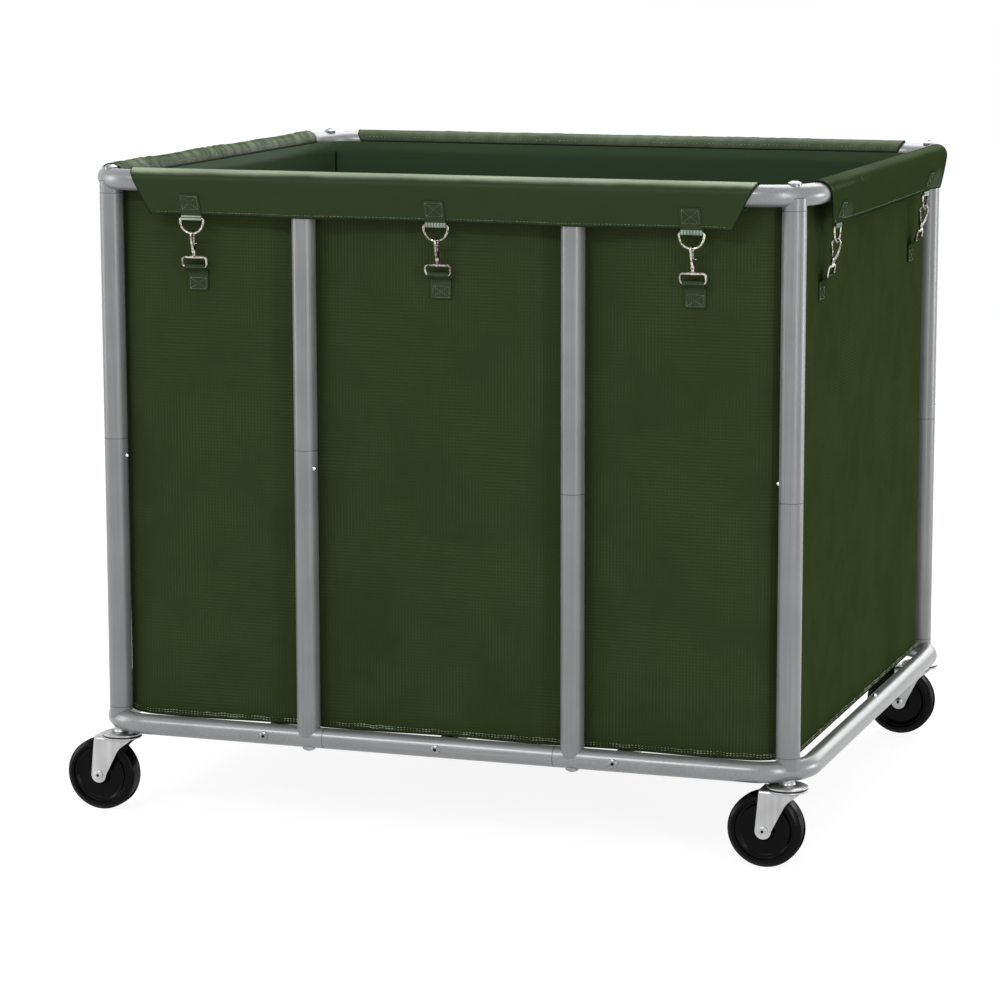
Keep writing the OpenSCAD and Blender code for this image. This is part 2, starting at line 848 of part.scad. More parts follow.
// Upper tab: sewn to the flap's outside, looped round the D-ring's bar.
module upper_tab() {
    back_r = flap_out_r + seat_gap;
    face_r = back_r + tab_t;
    eye_r = tab_loop_r + tab_t;
    webbing_eye(ring_bar_out, -ring_bar_down);
    translate([-tab_w / 2, 0, 0])
        rotate([90, 0, 90])
            linear_extrude(tab_w)
                polygon([
                    [-lean_out(back_r, -tab_top_down), -tab_top_down],
                    [-lean_out(face_r, -tab_top_down), -tab_top_down],
                    [-lean_out(face_r, -flap_drop), -flap_drop],
                    [-ring_bar_out - eye_r, -ring_bar_down],
                    [-ring_bar_out - tab_loop_r, -ring_bar_down],
                    [-lean_out(back_r, -flap_drop), -flap_drop]
                ]);
}

// Lower tab: looped round the bottom of the hook's base loop, and sewn to the bag's wall below it.
module lower_tab() {
    loop_out = ring_bar_out - loop_low * sin(hook_lean);
    loop_up = -hook_top_down - loop_low * cos(hook_lean);
    wall_y = bag_inset - seat_gap;
    inner = [-loop_out - tab_loop_r * sin(tab_fall), loop_up - tab_loop_r * cos(tab_fall)];
    outer = inner - tab_t * [sin(tab_fall), cos(tab_fall)];
    sewn_top = inner[1] - (wall_y - inner[0]) * tan(tab_fall);
    webbing_eye(loop_out, loop_up);
    translate([-tab_w / 2, 0, 0])
        rotate([90, 0, 90])
            linear_extrude(tab_w)
                polygon([
                    outer,
                    inner,
                    [wall_y, sewn_top],
                    [wall_y, sewn_top - lower_tab_h],
                    [wall_y - tab_t, sewn_top - lower_tab_h],
                    [wall_y - tab_t, outer[1] - (wall_y - tab_t - outer[0]) * tan(tab_fall)]
                ]);
}

module webbing_tabs() {
    color("darkolivegreen")
        for (place = hook_places)
            at_hook(place) {
                upper_tab();
                lower_tab();
            }
}

// A closed loop of wire in the XZ plane, hanging down from z = 0, with rounded corners.
module wire_loop(width, height, corner) {
    for (turn = [0, 180])
        translate([0, 0, -height / 2])
            rotate([0, turn, 0]) {
                translate([corner - width / 2, 0, height / 2])
                    rotate([0, 90, 0])
                        cylinder(h = width - 2 * corner, r = wire_r);
                translate([width / 2, 0, corner - height / 2])
                    cylinder(h = height - 2 * corner, r = wire_r);
                translate([width / 2 - corner, 0, height / 2 - corner])
                    rotate([90, 0, 0])
                        rotate_extrude(angle = 90)
                            translate([corner, 0])
                                circle(wire_r);
                translate([corner - width / 2, 0, height / 2 - corner])
                    rotate([90, -90, 0])
                        rotate_extrude(angle = 90)
                            translate([corner, 0])
                                circle(wire_r);
            }
}

// A D-ring: a straight bar, two short sides and a half-round bottom.
module d_ring() {
    translate([0, -ring_bar_out, -ring_bar_down]) {
        translate([ring_bend_r - ring_arc_r, 0, 0])
            rotate([0, 90, 0])
                cylinder(h = 2 * (ring_arc_r - ring_bend_r), r = wire_r);
        for (turn = [0, 180])
            rotate([0, 0, turn]) {
                translate([ring_arc_r - ring_bend_r, 0, -ring_bend_r])
                    rotate([90, 0, 0])
                        rotate_extrude(angle = 90)
                            translate([ring_bend_r, 0])
                                circle(wire_r);
                translate([ring_arc_r, 0, -ring_drop])
                    cylinder(h = ring_drop - ring_bend_r, r = wire_r);
            }
        translate([0, 0, -ring_drop])
            rotate([90, 180, 0])
                rotate_extrude(angle = 180)
                    translate([ring_arc_r, 0])
                        circle(wire_r);
    }
}

module d_rings() {
    color("gainsboro")
        for (place = hook_places)
            at_hook(place)
                d_ring();
}

// Puts its children at the top of a hook's arch, with -Z down the hook.
module on_hook_axis() {
    translate([0, -ring_bar_out, -hook_top_down])
        rotate([hook_lean, 0, 0])
            children();
}

// The arch and leg of a hook, as a flat outline: x is inwards and y is up.
module hook_outline() {
    translate([0, -arch_r])
        difference() {
            circle(arch_r + wire_r);
            circle(arch_r - wire_r);
            translate([-2 * arch_r, -4 * arch_r])
                square(4 * arch_r);
        }
    translate([arch_r - wire_r, -arch_r - arch_end_h])
        square([wire_d, arch_end_h]);
    polygon([
        [-arch_r - wire_r, -arch_r], [-arch_r + wire_r, -arch_r],
        [-shank_in, shank_low], [-barrel_r, shank_low]
    ]);
}

// A hook's cast body, with a slot for its gate, and its base loop, which turns in the barrel.
module snap_hook() {
    block_low = -hook_length + barrel_round_h;
    on_hook_axis() {
        difference() {
            union() {
                translate([-wire_r, 0, 0])
                    rotate([90, 0, 90])
                        linear_extrude(wire_d)
                            hook_outline();
                translate([-barrel_r, -barrel_r, block_low])
                    cube([2 * barrel_r, 2 * barrel_r + block_in, block_h]);
                translate([0, 0, -hook_length])
                    cylinder(h = barrel_round_h, r = barrel_r);
            }
            translate([-gate_t / 2 - gate_slot_gap, -gate_slot_floor, gate_pin_z - gate_heel_r - 2 * gate_slot_gap])
                cube([gate_t + 2 * gate_slot_gap, 2 * barrel_r, barrel_h]);
            translate([0, 0, -hook_length - 1])
                cylinder(h = swivel_reach + 1.5, r = swivel_r + plug_gap);
        }
        translate([-gate_t / 2 - gate_slot_floor, gate_pin_y, gate_pin_z])
            rotate([0, 90, 0])
                cylinder(h = gate_t + 2 * gate_slot_floor, r = gate_pin_r);
        translate([0, 0, -loop_top])
            cylinder(h = loop_top - hook_length + swivel_reach, r = swivel_r);
        translate([0, 0, -loop_top])
            wire_loop(ring_inside_w + wire_d, loop_h + wire_d, loop_bend_r);
    }
}

module snap_hooks() {
    color("gainsboro")
        for (place = hook_places)
            at_hook(place)
                snap_hook();
}

// The sprung gate of a hook: it turns on the body's pin and closes on the arch's short end.
module trigger(index) {
    tip = [arch_r, -arch_r - arch_end_h - gate_gap - wire_r];
    color("white")
        at_hook(hook_places[index])
            on_hook_axis() {
                difference() {
                    translate([-gate_t / 2, 0, 0])
                        rotate([90, 0, 90])
                            linear_extrude(gate_t) {
                                translate([gate_pin_y, gate_pin_z])
                                    circle(gate_heel_r);
                                translate(tip)
                                    circle(wire_r);
                                polygon([
                                    [gate_pin_y - 0.9 * gate_heel_r, gate_pin_z + 0.4 * gate_heel_r],
                                    [gate_pin_y + 0.97 * gate_heel_r, gate_pin_z],
                                    [tip[0] + wire_r, tip[1]], [tip[0] - wire_r, tip[1]]
                                ]);
                            }
                    translate([-gate_t, gate_pin_y, gate_pin_z])
                        rotate([0, 90, 0])
                            cylinder(h = 2 * gate_t, r = gate_pin_r + running_gap);
                }
                translate([0, (gate_pin_y + arch_r) / 2, (gate_pin_z + tip[1]) / 2])
                    rotate([0, 90, 0])
                        cylinder(h = gate_t / 2 + stud_length, r = stud_r);
            }
}

top_corner(-1, -1);  // top_corner_front_left
top_corner(1, -1);  // top_corner_front_right
top_corner(-1, 1);  // top_corner_back_left
top_corner(1, 1);  // top_corner_back_right
bottom_corner(-1, -1);  // bottom_corner_front_left
bottom_corner(1, -1);  // bottom_corner_front_right
bottom_corner(-1, 1);  // bottom_corner_back_left
bottom_corner(1, 1);  // bottom_corner_back_right
middle_tubes();
corner_post(-1, -1, 0);  // post_front_left
mid_post(-1, -1, -25);  // post_front_mid_left
mid_post(1, -1, 150);  // post_front_mid_right
corner_post(1, -1, 185);  // post_front_right
corner_post(-1, 1, 180);  // post_back_left
mid_post(-1, 1, 155);  // post_back_mid_left
mid_post(1, 1, -30);  // post_back_mid_right
corner_post(1, 1, 5);  // post_back_right
cross_tubes();
frame_fasteners();
caster_stems();
swivel_bearings();
caster_fork(-1, -1);  // caster_fork_front_left
caster_fork(1, -1);  // caster_fork_front_right
caster_fork(-1, 1);  // caster_fork_back_left
caster_fork(1, 1);  // caster_fork_back_right
caster_axle(-1, -1);  // caster_axle_front_left
caster_axle(1, -1);  // caster_axle_front_right
caster_axle(-1, 1);  // caster_axle_back_left
caster_axle(1, 1);  // caster_axle_back_right
wheel(-1, -1);  // wheel_front_left
wheel(1, -1);  // wheel_front_right
wheel(-1, 1);  // wheel_back_left
wheel(1, 1);  // wheel_back_right
bag_body();
bag_flaps();
webbing_tabs();
d_rings();
snap_hooks();
post_button(-post_x, -post_y, false, 0);  // button_front_left
post_button(-mid_post_x, -half_w, false, -25);  // button_front_mid_left
post_button(mid_post_x, -half_w, true, 150);  // button_front_mid_right
post_button(post_x, -post_y, true, 185);  // button_front_right
post_button(-post_x, post_y, false, 180);  // button_back_left
post_button(-mid_post_x, half_w, false, 155);  // button_back_mid_left
post_button(mid_post_x, half_w, true, -30);  // button_back_mid_right
post_button(post_x, post_y, true, 5);  // button_back_right
rail_button(-1, false);  // button_rail_top_left
rail_button(1, false);  // button_rail_top_right
rail_button(-1, true);  // button_rail_bottom_left
rail_button(1, true);  // button_rail_bottom_right
trigger(0);  // trigger_front_left
trigger(1);  // trigger_front_middle
trigger(2);  // trigger_front_right
trigger(3);  // trigger_right_front
trigger(4);  // trigger_right_back
trigger(5);  // trigger_back_right
trigger(6);  // trigger_back_middle
trigger(7);  // trigger_back_left
trigger(8);  // trigger_left_back
trigger(9);  // trigger_left_front
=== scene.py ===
"""Dresses the laundry cart: canvas, webbing, hooks, casters, tubes, stage and camera."""

from __future__ import annotations

import logging
import math
from collections.abc import Callable, Iterable
from dataclasses import dataclass, field
from enum import Enum

import bmesh
import bpy
from mathutils import Euler, Matrix, Vector, noise

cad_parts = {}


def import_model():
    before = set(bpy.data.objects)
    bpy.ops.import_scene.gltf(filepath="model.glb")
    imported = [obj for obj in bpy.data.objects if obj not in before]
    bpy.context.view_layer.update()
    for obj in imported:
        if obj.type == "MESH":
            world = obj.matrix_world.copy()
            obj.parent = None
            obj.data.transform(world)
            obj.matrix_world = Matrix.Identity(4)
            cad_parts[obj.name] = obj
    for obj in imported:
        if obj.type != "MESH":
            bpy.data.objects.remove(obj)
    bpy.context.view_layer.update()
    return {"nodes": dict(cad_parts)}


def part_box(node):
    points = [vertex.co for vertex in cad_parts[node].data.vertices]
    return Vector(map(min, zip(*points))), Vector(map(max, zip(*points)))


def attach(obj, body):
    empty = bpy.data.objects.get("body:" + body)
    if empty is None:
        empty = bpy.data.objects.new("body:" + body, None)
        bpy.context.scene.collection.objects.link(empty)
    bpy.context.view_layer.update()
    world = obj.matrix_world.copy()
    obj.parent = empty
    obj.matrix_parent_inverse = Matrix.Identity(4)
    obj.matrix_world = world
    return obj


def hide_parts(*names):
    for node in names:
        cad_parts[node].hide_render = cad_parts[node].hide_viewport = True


LOG = logging.getLogger("laundry_cart")
MM = 0.001
Colour = tuple[float, float, float, float]
Socket = bpy.types.NodeSocket
WHITE = (1.0, 1.0, 1.0, 1.0)
CORNERS = ("front_left", "front_right", "back_left", "back_right")
WELD = 0.001 * MM  # Points nearer than this are one.
WAVE_BAND = 0.314  # How wide a wave texture's bands are at a scale of 1.


# ---- Small helpers ----


def linear(hex_colour: str) -> Colour:
    """Turns an sRGB hex colour into the linear values that a shader takes.

    Args:
        hex_colour: The colour, such as "#314028".

    Returns:
        Linear red, green and blue, and an alpha of 1.
    """
    channels = [int(hex_colour[start:start + 2], 16) / 255 for start in (1, 3, 5)]
    red, green, blue = (
        c / 12.92 if c <= 0.04045 else ((c + 0.055) / 1.055) ** 2.4 for c in channels
    )
    return red, green, blue, 1.0


def smooth_step(low: float, high: float, value: float) -> float:
    """Returns 0 below low, 1 above high, and a smooth rise between them."""
    share = min(1.0, max(0.0, (value - low) / (high - low)))
    return share * share * (3 - 2 * share)


def bump_at(value: float, centre: float, reach: float, flatness: int = 2) -> float:
    """Returns a bell that is 1 at centre and fades out over reach.

    Args:
        value: Where the bell is read.
        centre: The bell's middle.
        reach: Its half width.
        flatness: An even power: 2 is a plain bell, and 4 has a flat top.

    Returns:
        The bell's height, from 0 to 1.
    """
    return math.exp(-abs((value - centre) / reach) ** flatness)


def in_mm(*points: tuple[float, ...]) -> list[tuple[float, ...]]:
    """Returns points that are given in millimetres in metres."""
    return [tuple(value * MM for value in point) for point in points]


def ripple(place: Vector, length: float, seed: float) -> float:
    """Returns soft seeded noise from about -1 to 1, with waves of about the given length."""
    return noise.noise(place / length + Vector((seed, 1.7 * seed, 0.3 * seed)))


@dataclass(frozen=True)
class Graph:
    """A node tree, with short ways to add the nodes that the materials share."""

    tree: bpy.types.NodeTree

    @classmethod
    def empty(cls, owner: bpy.types.Material | bpy.types.World) -> Graph:
        """Returns the emptied node tree of a material or a world."""
        owner.use_nodes = True
        owner.node_tree.nodes.clear()
        return cls(owner.node_tree)

    def feed(self, node: bpy.types.Node, links: dict[str | int, Socket]) -> None:
        """Links each source to the node's input of that name or number."""
        for name, source in links.items():
            self.tree.links.new(source, node.inputs[name])

    def add(
        self,
        kind: str,
        links: dict[str | int, Socket] | None = None,
        values: dict[str | int, object] | None = None,
        **settings: object,
    ) -> bpy.types.Node:
        """Adds a shader node with its settings and links.

        Args:
            kind: The node's type after "ShaderNode", such as TexNoise.
            links: The output that feeds each linked input.
            values: The value of each input that isn't linked.
            settings: The node's own options.

        Returns:
            The new node.
        """
        node = self.tree.nodes.new("ShaderNode" + kind)
        for name, value in settings.items():
            setattr(node, name, value)
        for name, value in (values or {}).items():
            node.inputs[name].default_value = value
        self.feed(node, links or {})
        return node

    def place(self) -> Socket:
        """Returns the place on the object."""
        return self.add("TexCoord").outputs["Object"]

    def noise(
        self, place: Socket, size: float, detail: float, **values: float
    ) -> bpy.types.NodeOutputs:
        """Returns the outputs of soft noise with spots of about the given size."""
        values = {"Scale": 1 / size, "Detail": detail, **values}
        return self.add("TexNoise", {"Vector": place}, values).outputs

    def ramp(
        self, value: Socket, low: float, high: float, start: float = 0.0, end: float = 1.0
    ) -> Socket:
        """Returns a value with its range from low to high spread over start to end."""
        ends = {"From Min": low, "From Max": high, "To Min": start, "To Max": end}
        return self.add("MapRange", {"Value": value}, ends).outputs["Result"]

    def mix(self, share: Socket, low: str | Socket, high: str) -> Socket:
        """Returns a mix of two colours. The first is a hex colour or a socket."""
        links, values = {"Factor": share}, {"B": linear(high)}
        if isinstance(low, str):
            values["A"] = linear(low)
        else:
            links["A"] = low
        return self.add("Mix", links, values, data_type="RGBA").outputs["Result"]

    def reckon(self, operation: str, first: Socket, second: Socket | float) -> Socket:
        """Returns a socket and a socket or number joined by a math operation."""
        links, values = {0: first}, {}
        (values if isinstance(second, float) else links)[1] = second
        return self.add("Math", links, values, operation=operation).outputs[0]

    def bump(self, height: Socket, strength: float, distance: float) -> Socket:
        """Returns a normal that a height raises."""
        values = {"Strength": strength, "Distance": distance}
        return self.add("Bump", {"Height": height}, values).outputs["Normal"]

    def soft_gloss(self, shader: bpy.types.Node, level: float) -> None:
        """Adds a gloss that fades at a glancing look, as fibres and moulded skins have.

        Args:
            shader: The shader.
            level: Its specular level straight on.
        """
        facing = self.add("LayerWeight", None, {"Blend": 0.5}).outputs["Facing"]
        shader.inputs["Specular IOR Level"].default_value = 0.5 * level
        self.feed(shader, {"Specular IOR Level": self.ramp(facing, 0.45, 0.76, level, 0.0)})


# ---- Finishes ----


class Grain(Enum):
    """Which way a drawn metal's streaks run, as the stretch of its pattern in X, Y and Z."""

    ALONG_X = (0.012, 1.0, 1.0)
    ALONG_Y = (1.0, 0.012, 1.0)
    ALONG_Z = (1.0, 1.0, 0.012)
    NONE = (1.0, 1.0, 1.0)


@dataclass(frozen=True)
class Finish:
    """What all finishes share: a name, a slot name, and a material that is built once."""

    name: str
    slot: str

    def material(self) -> bpy.types.Material:
        """Returns the finish's material, and builds it the first time."""
        found = bpy.data.materials.get(self.name)
        if found is not None:
            return found
        made = bpy.data.materials.new(self.name)
        graph = Graph.empty(made)
        shader = graph.add("BsdfPrincipled")
        graph.add("OutputMaterial", {"Surface": shader.outputs["BSDF"]})
        self.dress(graph, shader)
        return made

    def dress(self, graph: Graph, shader: bpy.types.Node) -> None:
        """Sets the shader's values and patterns."""
        raise NotImplementedError


@dataclass(frozen=True)
class SatinMetal(Finish):
    """Plated or lacquered steel: a satin metal with drawn streaks and slightly uneven gloss."""

    light: str = "#868788"
    dark: str = "#7b7c7d"
    roughness: float = 0.40
    grain: Grain = Grain.NONE
    streak: float = 2.0 * MM
    bump: float = 0.0
    metallic: float = 1.0
    cloud: float = 60 * MM

    def dress(self, graph: Graph, shader: bpy.types.Node) -> None:
        """Mixes two greys along the streaks, varies the gloss, and can raise the streaks."""
        place = graph.place()
        stretch = {"Scale": self.grain.value}
        stretched = graph.add("Mapping", {"Vector": place}, stretch).outputs["Vector"]
        streaks = graph.noise(stretched, self.streak, 1.0)["Fac"]
        clouds = graph.noise(place, self.cloud, 2.0)["Fac"]
        tone = graph.ramp(graph.reckon("MULTIPLY", streaks, clouds), 0.12, 0.40)
        gloss = graph.ramp(clouds, 0.3, 0.7, self.roughness - 0.02, self.roughness + 0.05)
        shader.inputs["Metallic"].default_value = self.metallic
        graph.feed(shader, {
            "Base Color": graph.mix(tone, self.dark, self.light), "Roughness": gloss,
        })
        if self.bump:
            graph.feed(shader, {"Normal": graph.bump(streaks, self.bump, 0.05 * MM)})


@dataclass(frozen=True)
class MouldedBlack(Finish):
    """Hard moulded wheel compound: near black, with a soft gloss and a faint orange peel."""

    colour: str = "#030303"
    dusty: str = "#080808"
    roughness: float = 0.18
    gloss_level: float = 0.08

    def dress(self, graph: Graph, shader: bpy.types.Node) -> None:
        """Adds handling dust and the mould's fine skin."""
        place = graph.place()
        dust = graph.noise(place, 18 * MM, 4.0)["Fac"]
        skin = graph.noise(place, 1.2 * MM, 1.0)["Fac"]
        graph.soft_gloss(shader, self.gloss_level)
        graph.feed(shader, {
            "Base Color": graph.mix(dust, self.colour, self.dusty),
            "Roughness": graph.ramp(dust, 0.0, 1.0, self.roughness - 0.04, self.roughness + 0.08),
            "Normal": graph.bump(skin, 0.08, 0.05 * MM),
        })


@dataclass(frozen=True)
class Woven(Finish):
    """Woven and coated cloth: crossed threads that stand out in patches, and a soft gloss."""

    colour: str = "#2c361c"
    thread_colour: str = "#3e4a2d"
    roughness: float = 0.8
    pitch: float = 4.6 * MM
    relief: float = 0.15
    weave_share: float = 0.45
    gloss_level: float = 0.05
    sheen_colour: str = ""

    def dress(self, graph: Graph, shader: bpy.types.Node) -> None:
        """Crosses two thread waves on the piece's own cloth map, and fades them in patches."""
        cloth = graph.add("UVMap", uv_map="cloth").outputs["UV"]
        cloud = graph.noise(graph.place(), 110 * MM, 3.0, Roughness=0.6)
        mottle = graph.add("SeparateColor", {"Color": cloud["Color"]}).outputs
        # The real threads are about 1.2 mm apart, too fine to show, so they are drawn coarser.
        wave = {
            "Scale": WAVE_BAND / self.pitch, "Distortion": 0.25, "Detail": 1.0, "Detail Scale": 0.4,
        }
        threads = []
        for way, patch in (("X", mottle["Green"]), ("Y", mottle["Red"])):
            thread = graph.add("TexWave", {"Vector": cloth}, wave, bands_direction=way)
            shown = graph.ramp(patch, 0.40, 0.62, 0.1, 1.0)
            threads.append(graph.reckon("MULTIPLY", thread.outputs["Fac"], shown))
        weave = graph.reckon("MAXIMUM", *threads)
        strength = graph.reckon("MULTIPLY", weave, self.weave_share)
        base = graph.mix(strength, self.colour, self.thread_colour)
        # The sheen colour, mixed in by each point's stored share, is a painted highlight along a
        # fold's crest.
        if self.sheen_colour:
            rub = graph.add("Attribute", attribute_name="rub").outputs["Fac"]
            base = graph.mix(rub, base, self.sheen_colour)
        rough, spread = self.roughness, 0.06
        graph.soft_gloss(shader, self.gloss_level)
        graph.feed(shader, {
            "Base Color": base,
            "Roughness": graph.ramp(cloud["Fac"], 0.3, 0.7, rough - spread, rough + spread),
            "Normal": graph.bump(weave, self.relief, 0.3 * MM),
        })


@dataclass(frozen=True)
class Thread(Finish):
    """Twisted polyester sewing thread: a small bright yarn with a fine twist."""

    colour: str = "#8c9a80"
    dark: str = "#5f6d54"

    def dress(self, graph: Graph, shader: bpy.types.Node) -> None:
        """Varies the thread's tone from stitch to stitch."""
        tone = graph.ramp(graph.noise(graph.place(), 9 * MM, 3.0)["Fac"], 0.4, 0.62)
        shader.inputs["Roughness"].default_value = 0.6
        graph.feed(shader, {"Base Color": graph.mix(tone, self.dark, self.colour)})


# The rails are the posts' coated tube with lighter greys: painted light for the brighter light that
# the rails catch.
LIGHTENED_RAIL = {
    "slot": "frame_tube", "light": "#909192", "dark": "#858687", "metallic": 0.5, "roughness": 0.31,
}
RAIL_ALONG_X, RAIL_ALONG_Y = (
    SatinMetal(f"Satin silver coated tube, drawn along {way}", grain=grain, **LIGHTENED_RAIL)
    for way, grain in (("X", Grain.ALONG_X), ("Y", Grain.ALONG_Y))
)
BENT_TUBE = SatinMetal("Satin silver coated tube, bent", streak=2.5 * MM, **LIGHTENED_RAIL)
POST_TUBE = SatinMetal(
    "Satin silver coated tube, drawn upright", "frame_tube", metallic=0.22, roughness=0.31,
    grain=Grain.ALONG_Z,
)
BOLT_STEEL = SatinMetal(
    "Zinc plated bolt steel", "bolt_steel", "#9c9d9f", "#727375", roughness=0.30, streak=1.5 * MM,
    bump=0.02,
)
CASTER_STEEL = SatinMetal(
    "Bright zinc plated pressed steel", "caster_steel", "#c0c0c0", "#a2a2a3", roughness=0.32,
    grain=Grain.ALONG_Z, streak=7 * MM, bump=0.01,
)
AXLE_STEEL = SatinMetal(
    "Zinc plated axle steel", "axle_steel", "#c4c6c8", "#94979a", roughness=0.30
)
BALL_STEEL = SatinMetal(
    "Polished bearing steel", "bearing_steel", "#d8d8d8", "#c0c0c0", roughness=0.12
)
BUTTON_STEEL = SatinMetal(
    "Plated snap button steel", "button_steel", "#e4e4e2", "#c6c6c4", roughness=0.2
)
# The nickel's near-black streaks are painted reflections of the dark surroundings, mixed into its
# colour.
NICKEL_WITH_PAINTED_REFLECTIONS = SatinMetal(
    "Nickel plated zinc casting", "hook_metal", "#d8d3c8", "#3c382f", roughness=0.14,
    streak=3.5 * MM, bump=0.02,
)
GATE_NICKEL_WITH_PAINTED_REFLECTIONS = SatinMetal(
    "Nickel plated gate", "hook_metal", "#c6c1b6", "#3c382f", roughness=0.18, streak=3.5 * MM
)
JOINT_SHADE = SatinMetal(
    "Steel in a tube joint's gap", "frame_tube", "#727375", "#5c5d5f", roughness=0.5
)
GROOVE_SHADE = SatinMetal(
    "Painted shade in a ball groove", "caster_steel", "#3a3b3c", "#2a2b2c", roughness=0.5
)
SOCKET_SHADE, AXLE_SHADE = (
    SatinMetal(f"Shade in {whose} socket", slot, "#262627", "#18181a", roughness=0.6)
    for whose, slot in (("a screw's", "bolt_steel"), ("an axle's", "axle_steel"))
)
WHEEL_BLACK = MouldedBlack("Hard black wheel compound, moulded", "wheel_rubber")
BAG_CANVAS = Woven("Coated canvas, woven, outer face", "bag_fabric")
BAG_LINING = Woven(
    "Coated canvas, inner face", "bag_fabric", "#31442d", "#384c32", roughness=0.55, relief=0.1,
    weave_share=0.3, gloss_level=0.08,
)
# Its pale sheen colour is a painted highlight along the crest of the fold.
FLAP_CANVAS = Woven(
    "Coated canvas, folded over the rail", "bag_fabric", "#2a371e", "#324226", roughness=0.40,
    pitch=3.0 * MM, relief=0.06, weave_share=0.4, gloss_level=0.07, sheen_colour="#9aa78e",
)
# A dark cloth that is partly real binding and partly painted shade: the shadow line under the hem,
# the gap at the flap's seam and the inside corners.
BINDING_AND_SHADE = Woven(
    "Bound cloth edge and painted seam shade", "bag_fabric", "#161f10", "#26331c", roughness=0.6, pitch=2.0 * MM,
    relief=0.3, gloss_level=0.1,
)
WEBBING = Woven(
    "Woven webbing", "webbing", "#24301a", "#394a2b", roughness=0.6, pitch=2.6 * MM, relief=0.6,
    weave_share=0.7, gloss_level=0.15,
)
# Paler threads and more gloss where the upper tab wraps the ring's bar.
WEBBING_LOOP = Woven(
    "Woven webbing, polished by its ring", "webbing", "#33452f", "#c2d2c0", roughness=0.35,
    pitch=4.2 * MM, relief=0.5, weave_share=1.0, gloss_level=0.5,
)
GREEN_THREAD = Thread("Green sewing thread", "webbing", "#74866a", "#3f5038")
PALE_THREAD = Thread("Pale sewing thread", "bag_fabric", "#a3b096", "#4d5c3e")


# ---- Making pieces ----


def make_piece(
    name: str,
    shape: bmesh.types.BMesh,
    finishes: Iterable[Finish],
    body: str = "frame",
    sharp: float = 35.0,
) -> bpy.types.Object:
    """Turns a mesh in the row frame into a finished piece that rides on a body.

    Args:
        name: The piece's name.
        shape: Its mesh, which is freed.
        finishes: The finish of each material slot.
        body: The CAD body that it moves with.
        sharp: Edges that turn more than this many degrees stay sharp.

    Returns:
        The new object.
    """
    mesh = bpy.data.meshes.new(name)
    shape.to_mesh(mesh)
    shape.free()
    mesh.shade_smooth()
    mesh.set_sharp_from_angle(angle=math.radians(sharp))
    piece = bpy.data.objects.new(name, mesh)
    bpy.context.scene.collection.objects.link(piece)
    listed = list(finishes)
    for finish in listed:
        mesh.materials.append(finish.material())
    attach(piece, body)
    LOG.info("%s: %d faces on %s", name, len(mesh.polygons), body)
    return piece


def mapped_sheet(
    columns: int,
    rows: int,
    flat: tuple[float, float],
    place: Callable[[float, float], Vector],
) -> bmesh.types.BMesh:
    """Makes a grid and sets its points by a rule, with its cloth map in metres.

    Args:
        columns: Faces along the first way.
        rows: Faces along the second way.
        flat: The flat size of the cloth each way, in metres.
        place: Gives a point's place from its share along each way, from 0 to 1.

    Returns:
        The sheet's mesh.
    """
    shape = bmesh.new()
    bmesh.ops.create_grid(shape, x_segments=columns, y_segments=rows, size=0.5)
    cloth = shape.loops.layers.uv.new("cloth")
    for face in shape.faces:
        for corner in face.loops:
            corner[cloth].uv = (
                (corner.vert.co.x + 0.5) * flat[0],
                (corner.vert.co.y + 0.5) * flat[1],
            )
    for point in shape.verts:
        point.co = place(point.co.x + 0.5, point.co.y + 0.5)
    return shape


def thicken(piece: bpy.types.Object, thickness: float, offset: float = 0.0, rim: int = 0) -> None:
    """Gives a sheet its thickness.

    Args:
        piece: The sheet.
        thickness: How thick it becomes.
        offset: -1 grows inwards, 1 outwards, and 0 both ways.
        rim: How many material slots further on its other face's finish is.
    """
    solid = piece.modifiers.new("Thickness", "SOLIDIFY")
    solid.thickness = thickness
    solid.offset = offset
    solid.use_even_offset = True
    solid.material_offset = rim


def soften_edges(piece: bpy.types.Object, width: float, angle: float = 30.0) -> None:
    """Rounds the edges that turn more than an angle, in degrees."""
    edge = piece.modifiers.new("Soft edge", "BEVEL")
    edge.width = width
    edge.segments = 2
    edge.limit_method = "ANGLE"
    edge.angle_limit = math.radians(angle)


def lathe(
    profile: list[tuple[float, float]], steps: int, closed: bool = True
) -> bmesh.types.BMesh:
    """Spins a profile about Z.

    Args:
        profile: The profile's points, as radius and height.
        steps: Faces round the turn.
        closed: Whether the last point joins the first.

    Returns:
        The turned mesh, with its faces outwards.
    """
    shape = bmesh.new()
    points = [shape.verts.new((radius, 0.0, height)) for radius, height in profile]
    for start, end in zip(points, points[1:]):
        shape.edges.new((start, end))
    if closed:
        shape.edges.new((points[-1], points[0]))
    bmesh.ops.spin(
        shape, geom=shape.verts[:] + shape.edges[:], cent=(0, 0, 0), axis=(0, 0, 1),
        angle=math.tau, steps=steps, use_merge=True,
    )
    bmesh.ops.remove_doubles(shape, verts=shape.verts[:], dist=WELD)
    bmesh.ops.recalc_face_normals(shape, faces=shape.faces[:])
    return shape


def rounded(
    profile: list[tuple[float, float, float]], steps: int = 4
) -> list[tuple[float, float]]:
    """Rounds the corners of a profile.

    Args:
        profile: Each corner's two coordinates and the radius that rounds it.
        steps: Points along each rounding, less one.

    Returns:
        The profile's points with its corners rounded.
    """
    result: list[tuple[float, float]] = []
    count = len(profile)
    for number, (across, up, radius) in enumerate(profile):
        corner = Vector((across, up))
        if radius <= 0:
            result.append((across, up))
            continue
        before = Vector(profile[number - 1][:2]) - corner
        after = Vector(profile[(number + 1) % count][:2]) - corner
        half = before.angle(after) / 2
        reach = min(radius / math.tan(half), 0.49 * before.length, 0.49 * after.length)
        start = corner + before.normalized() * reach
        end = corner + after.normalized() * reach
        for step in range(steps + 1):
            share = step / steps
            point = start.lerp(corner, share).lerp(corner.lerp(end, share), share)
            result.append((point.x, point.y))
    return result


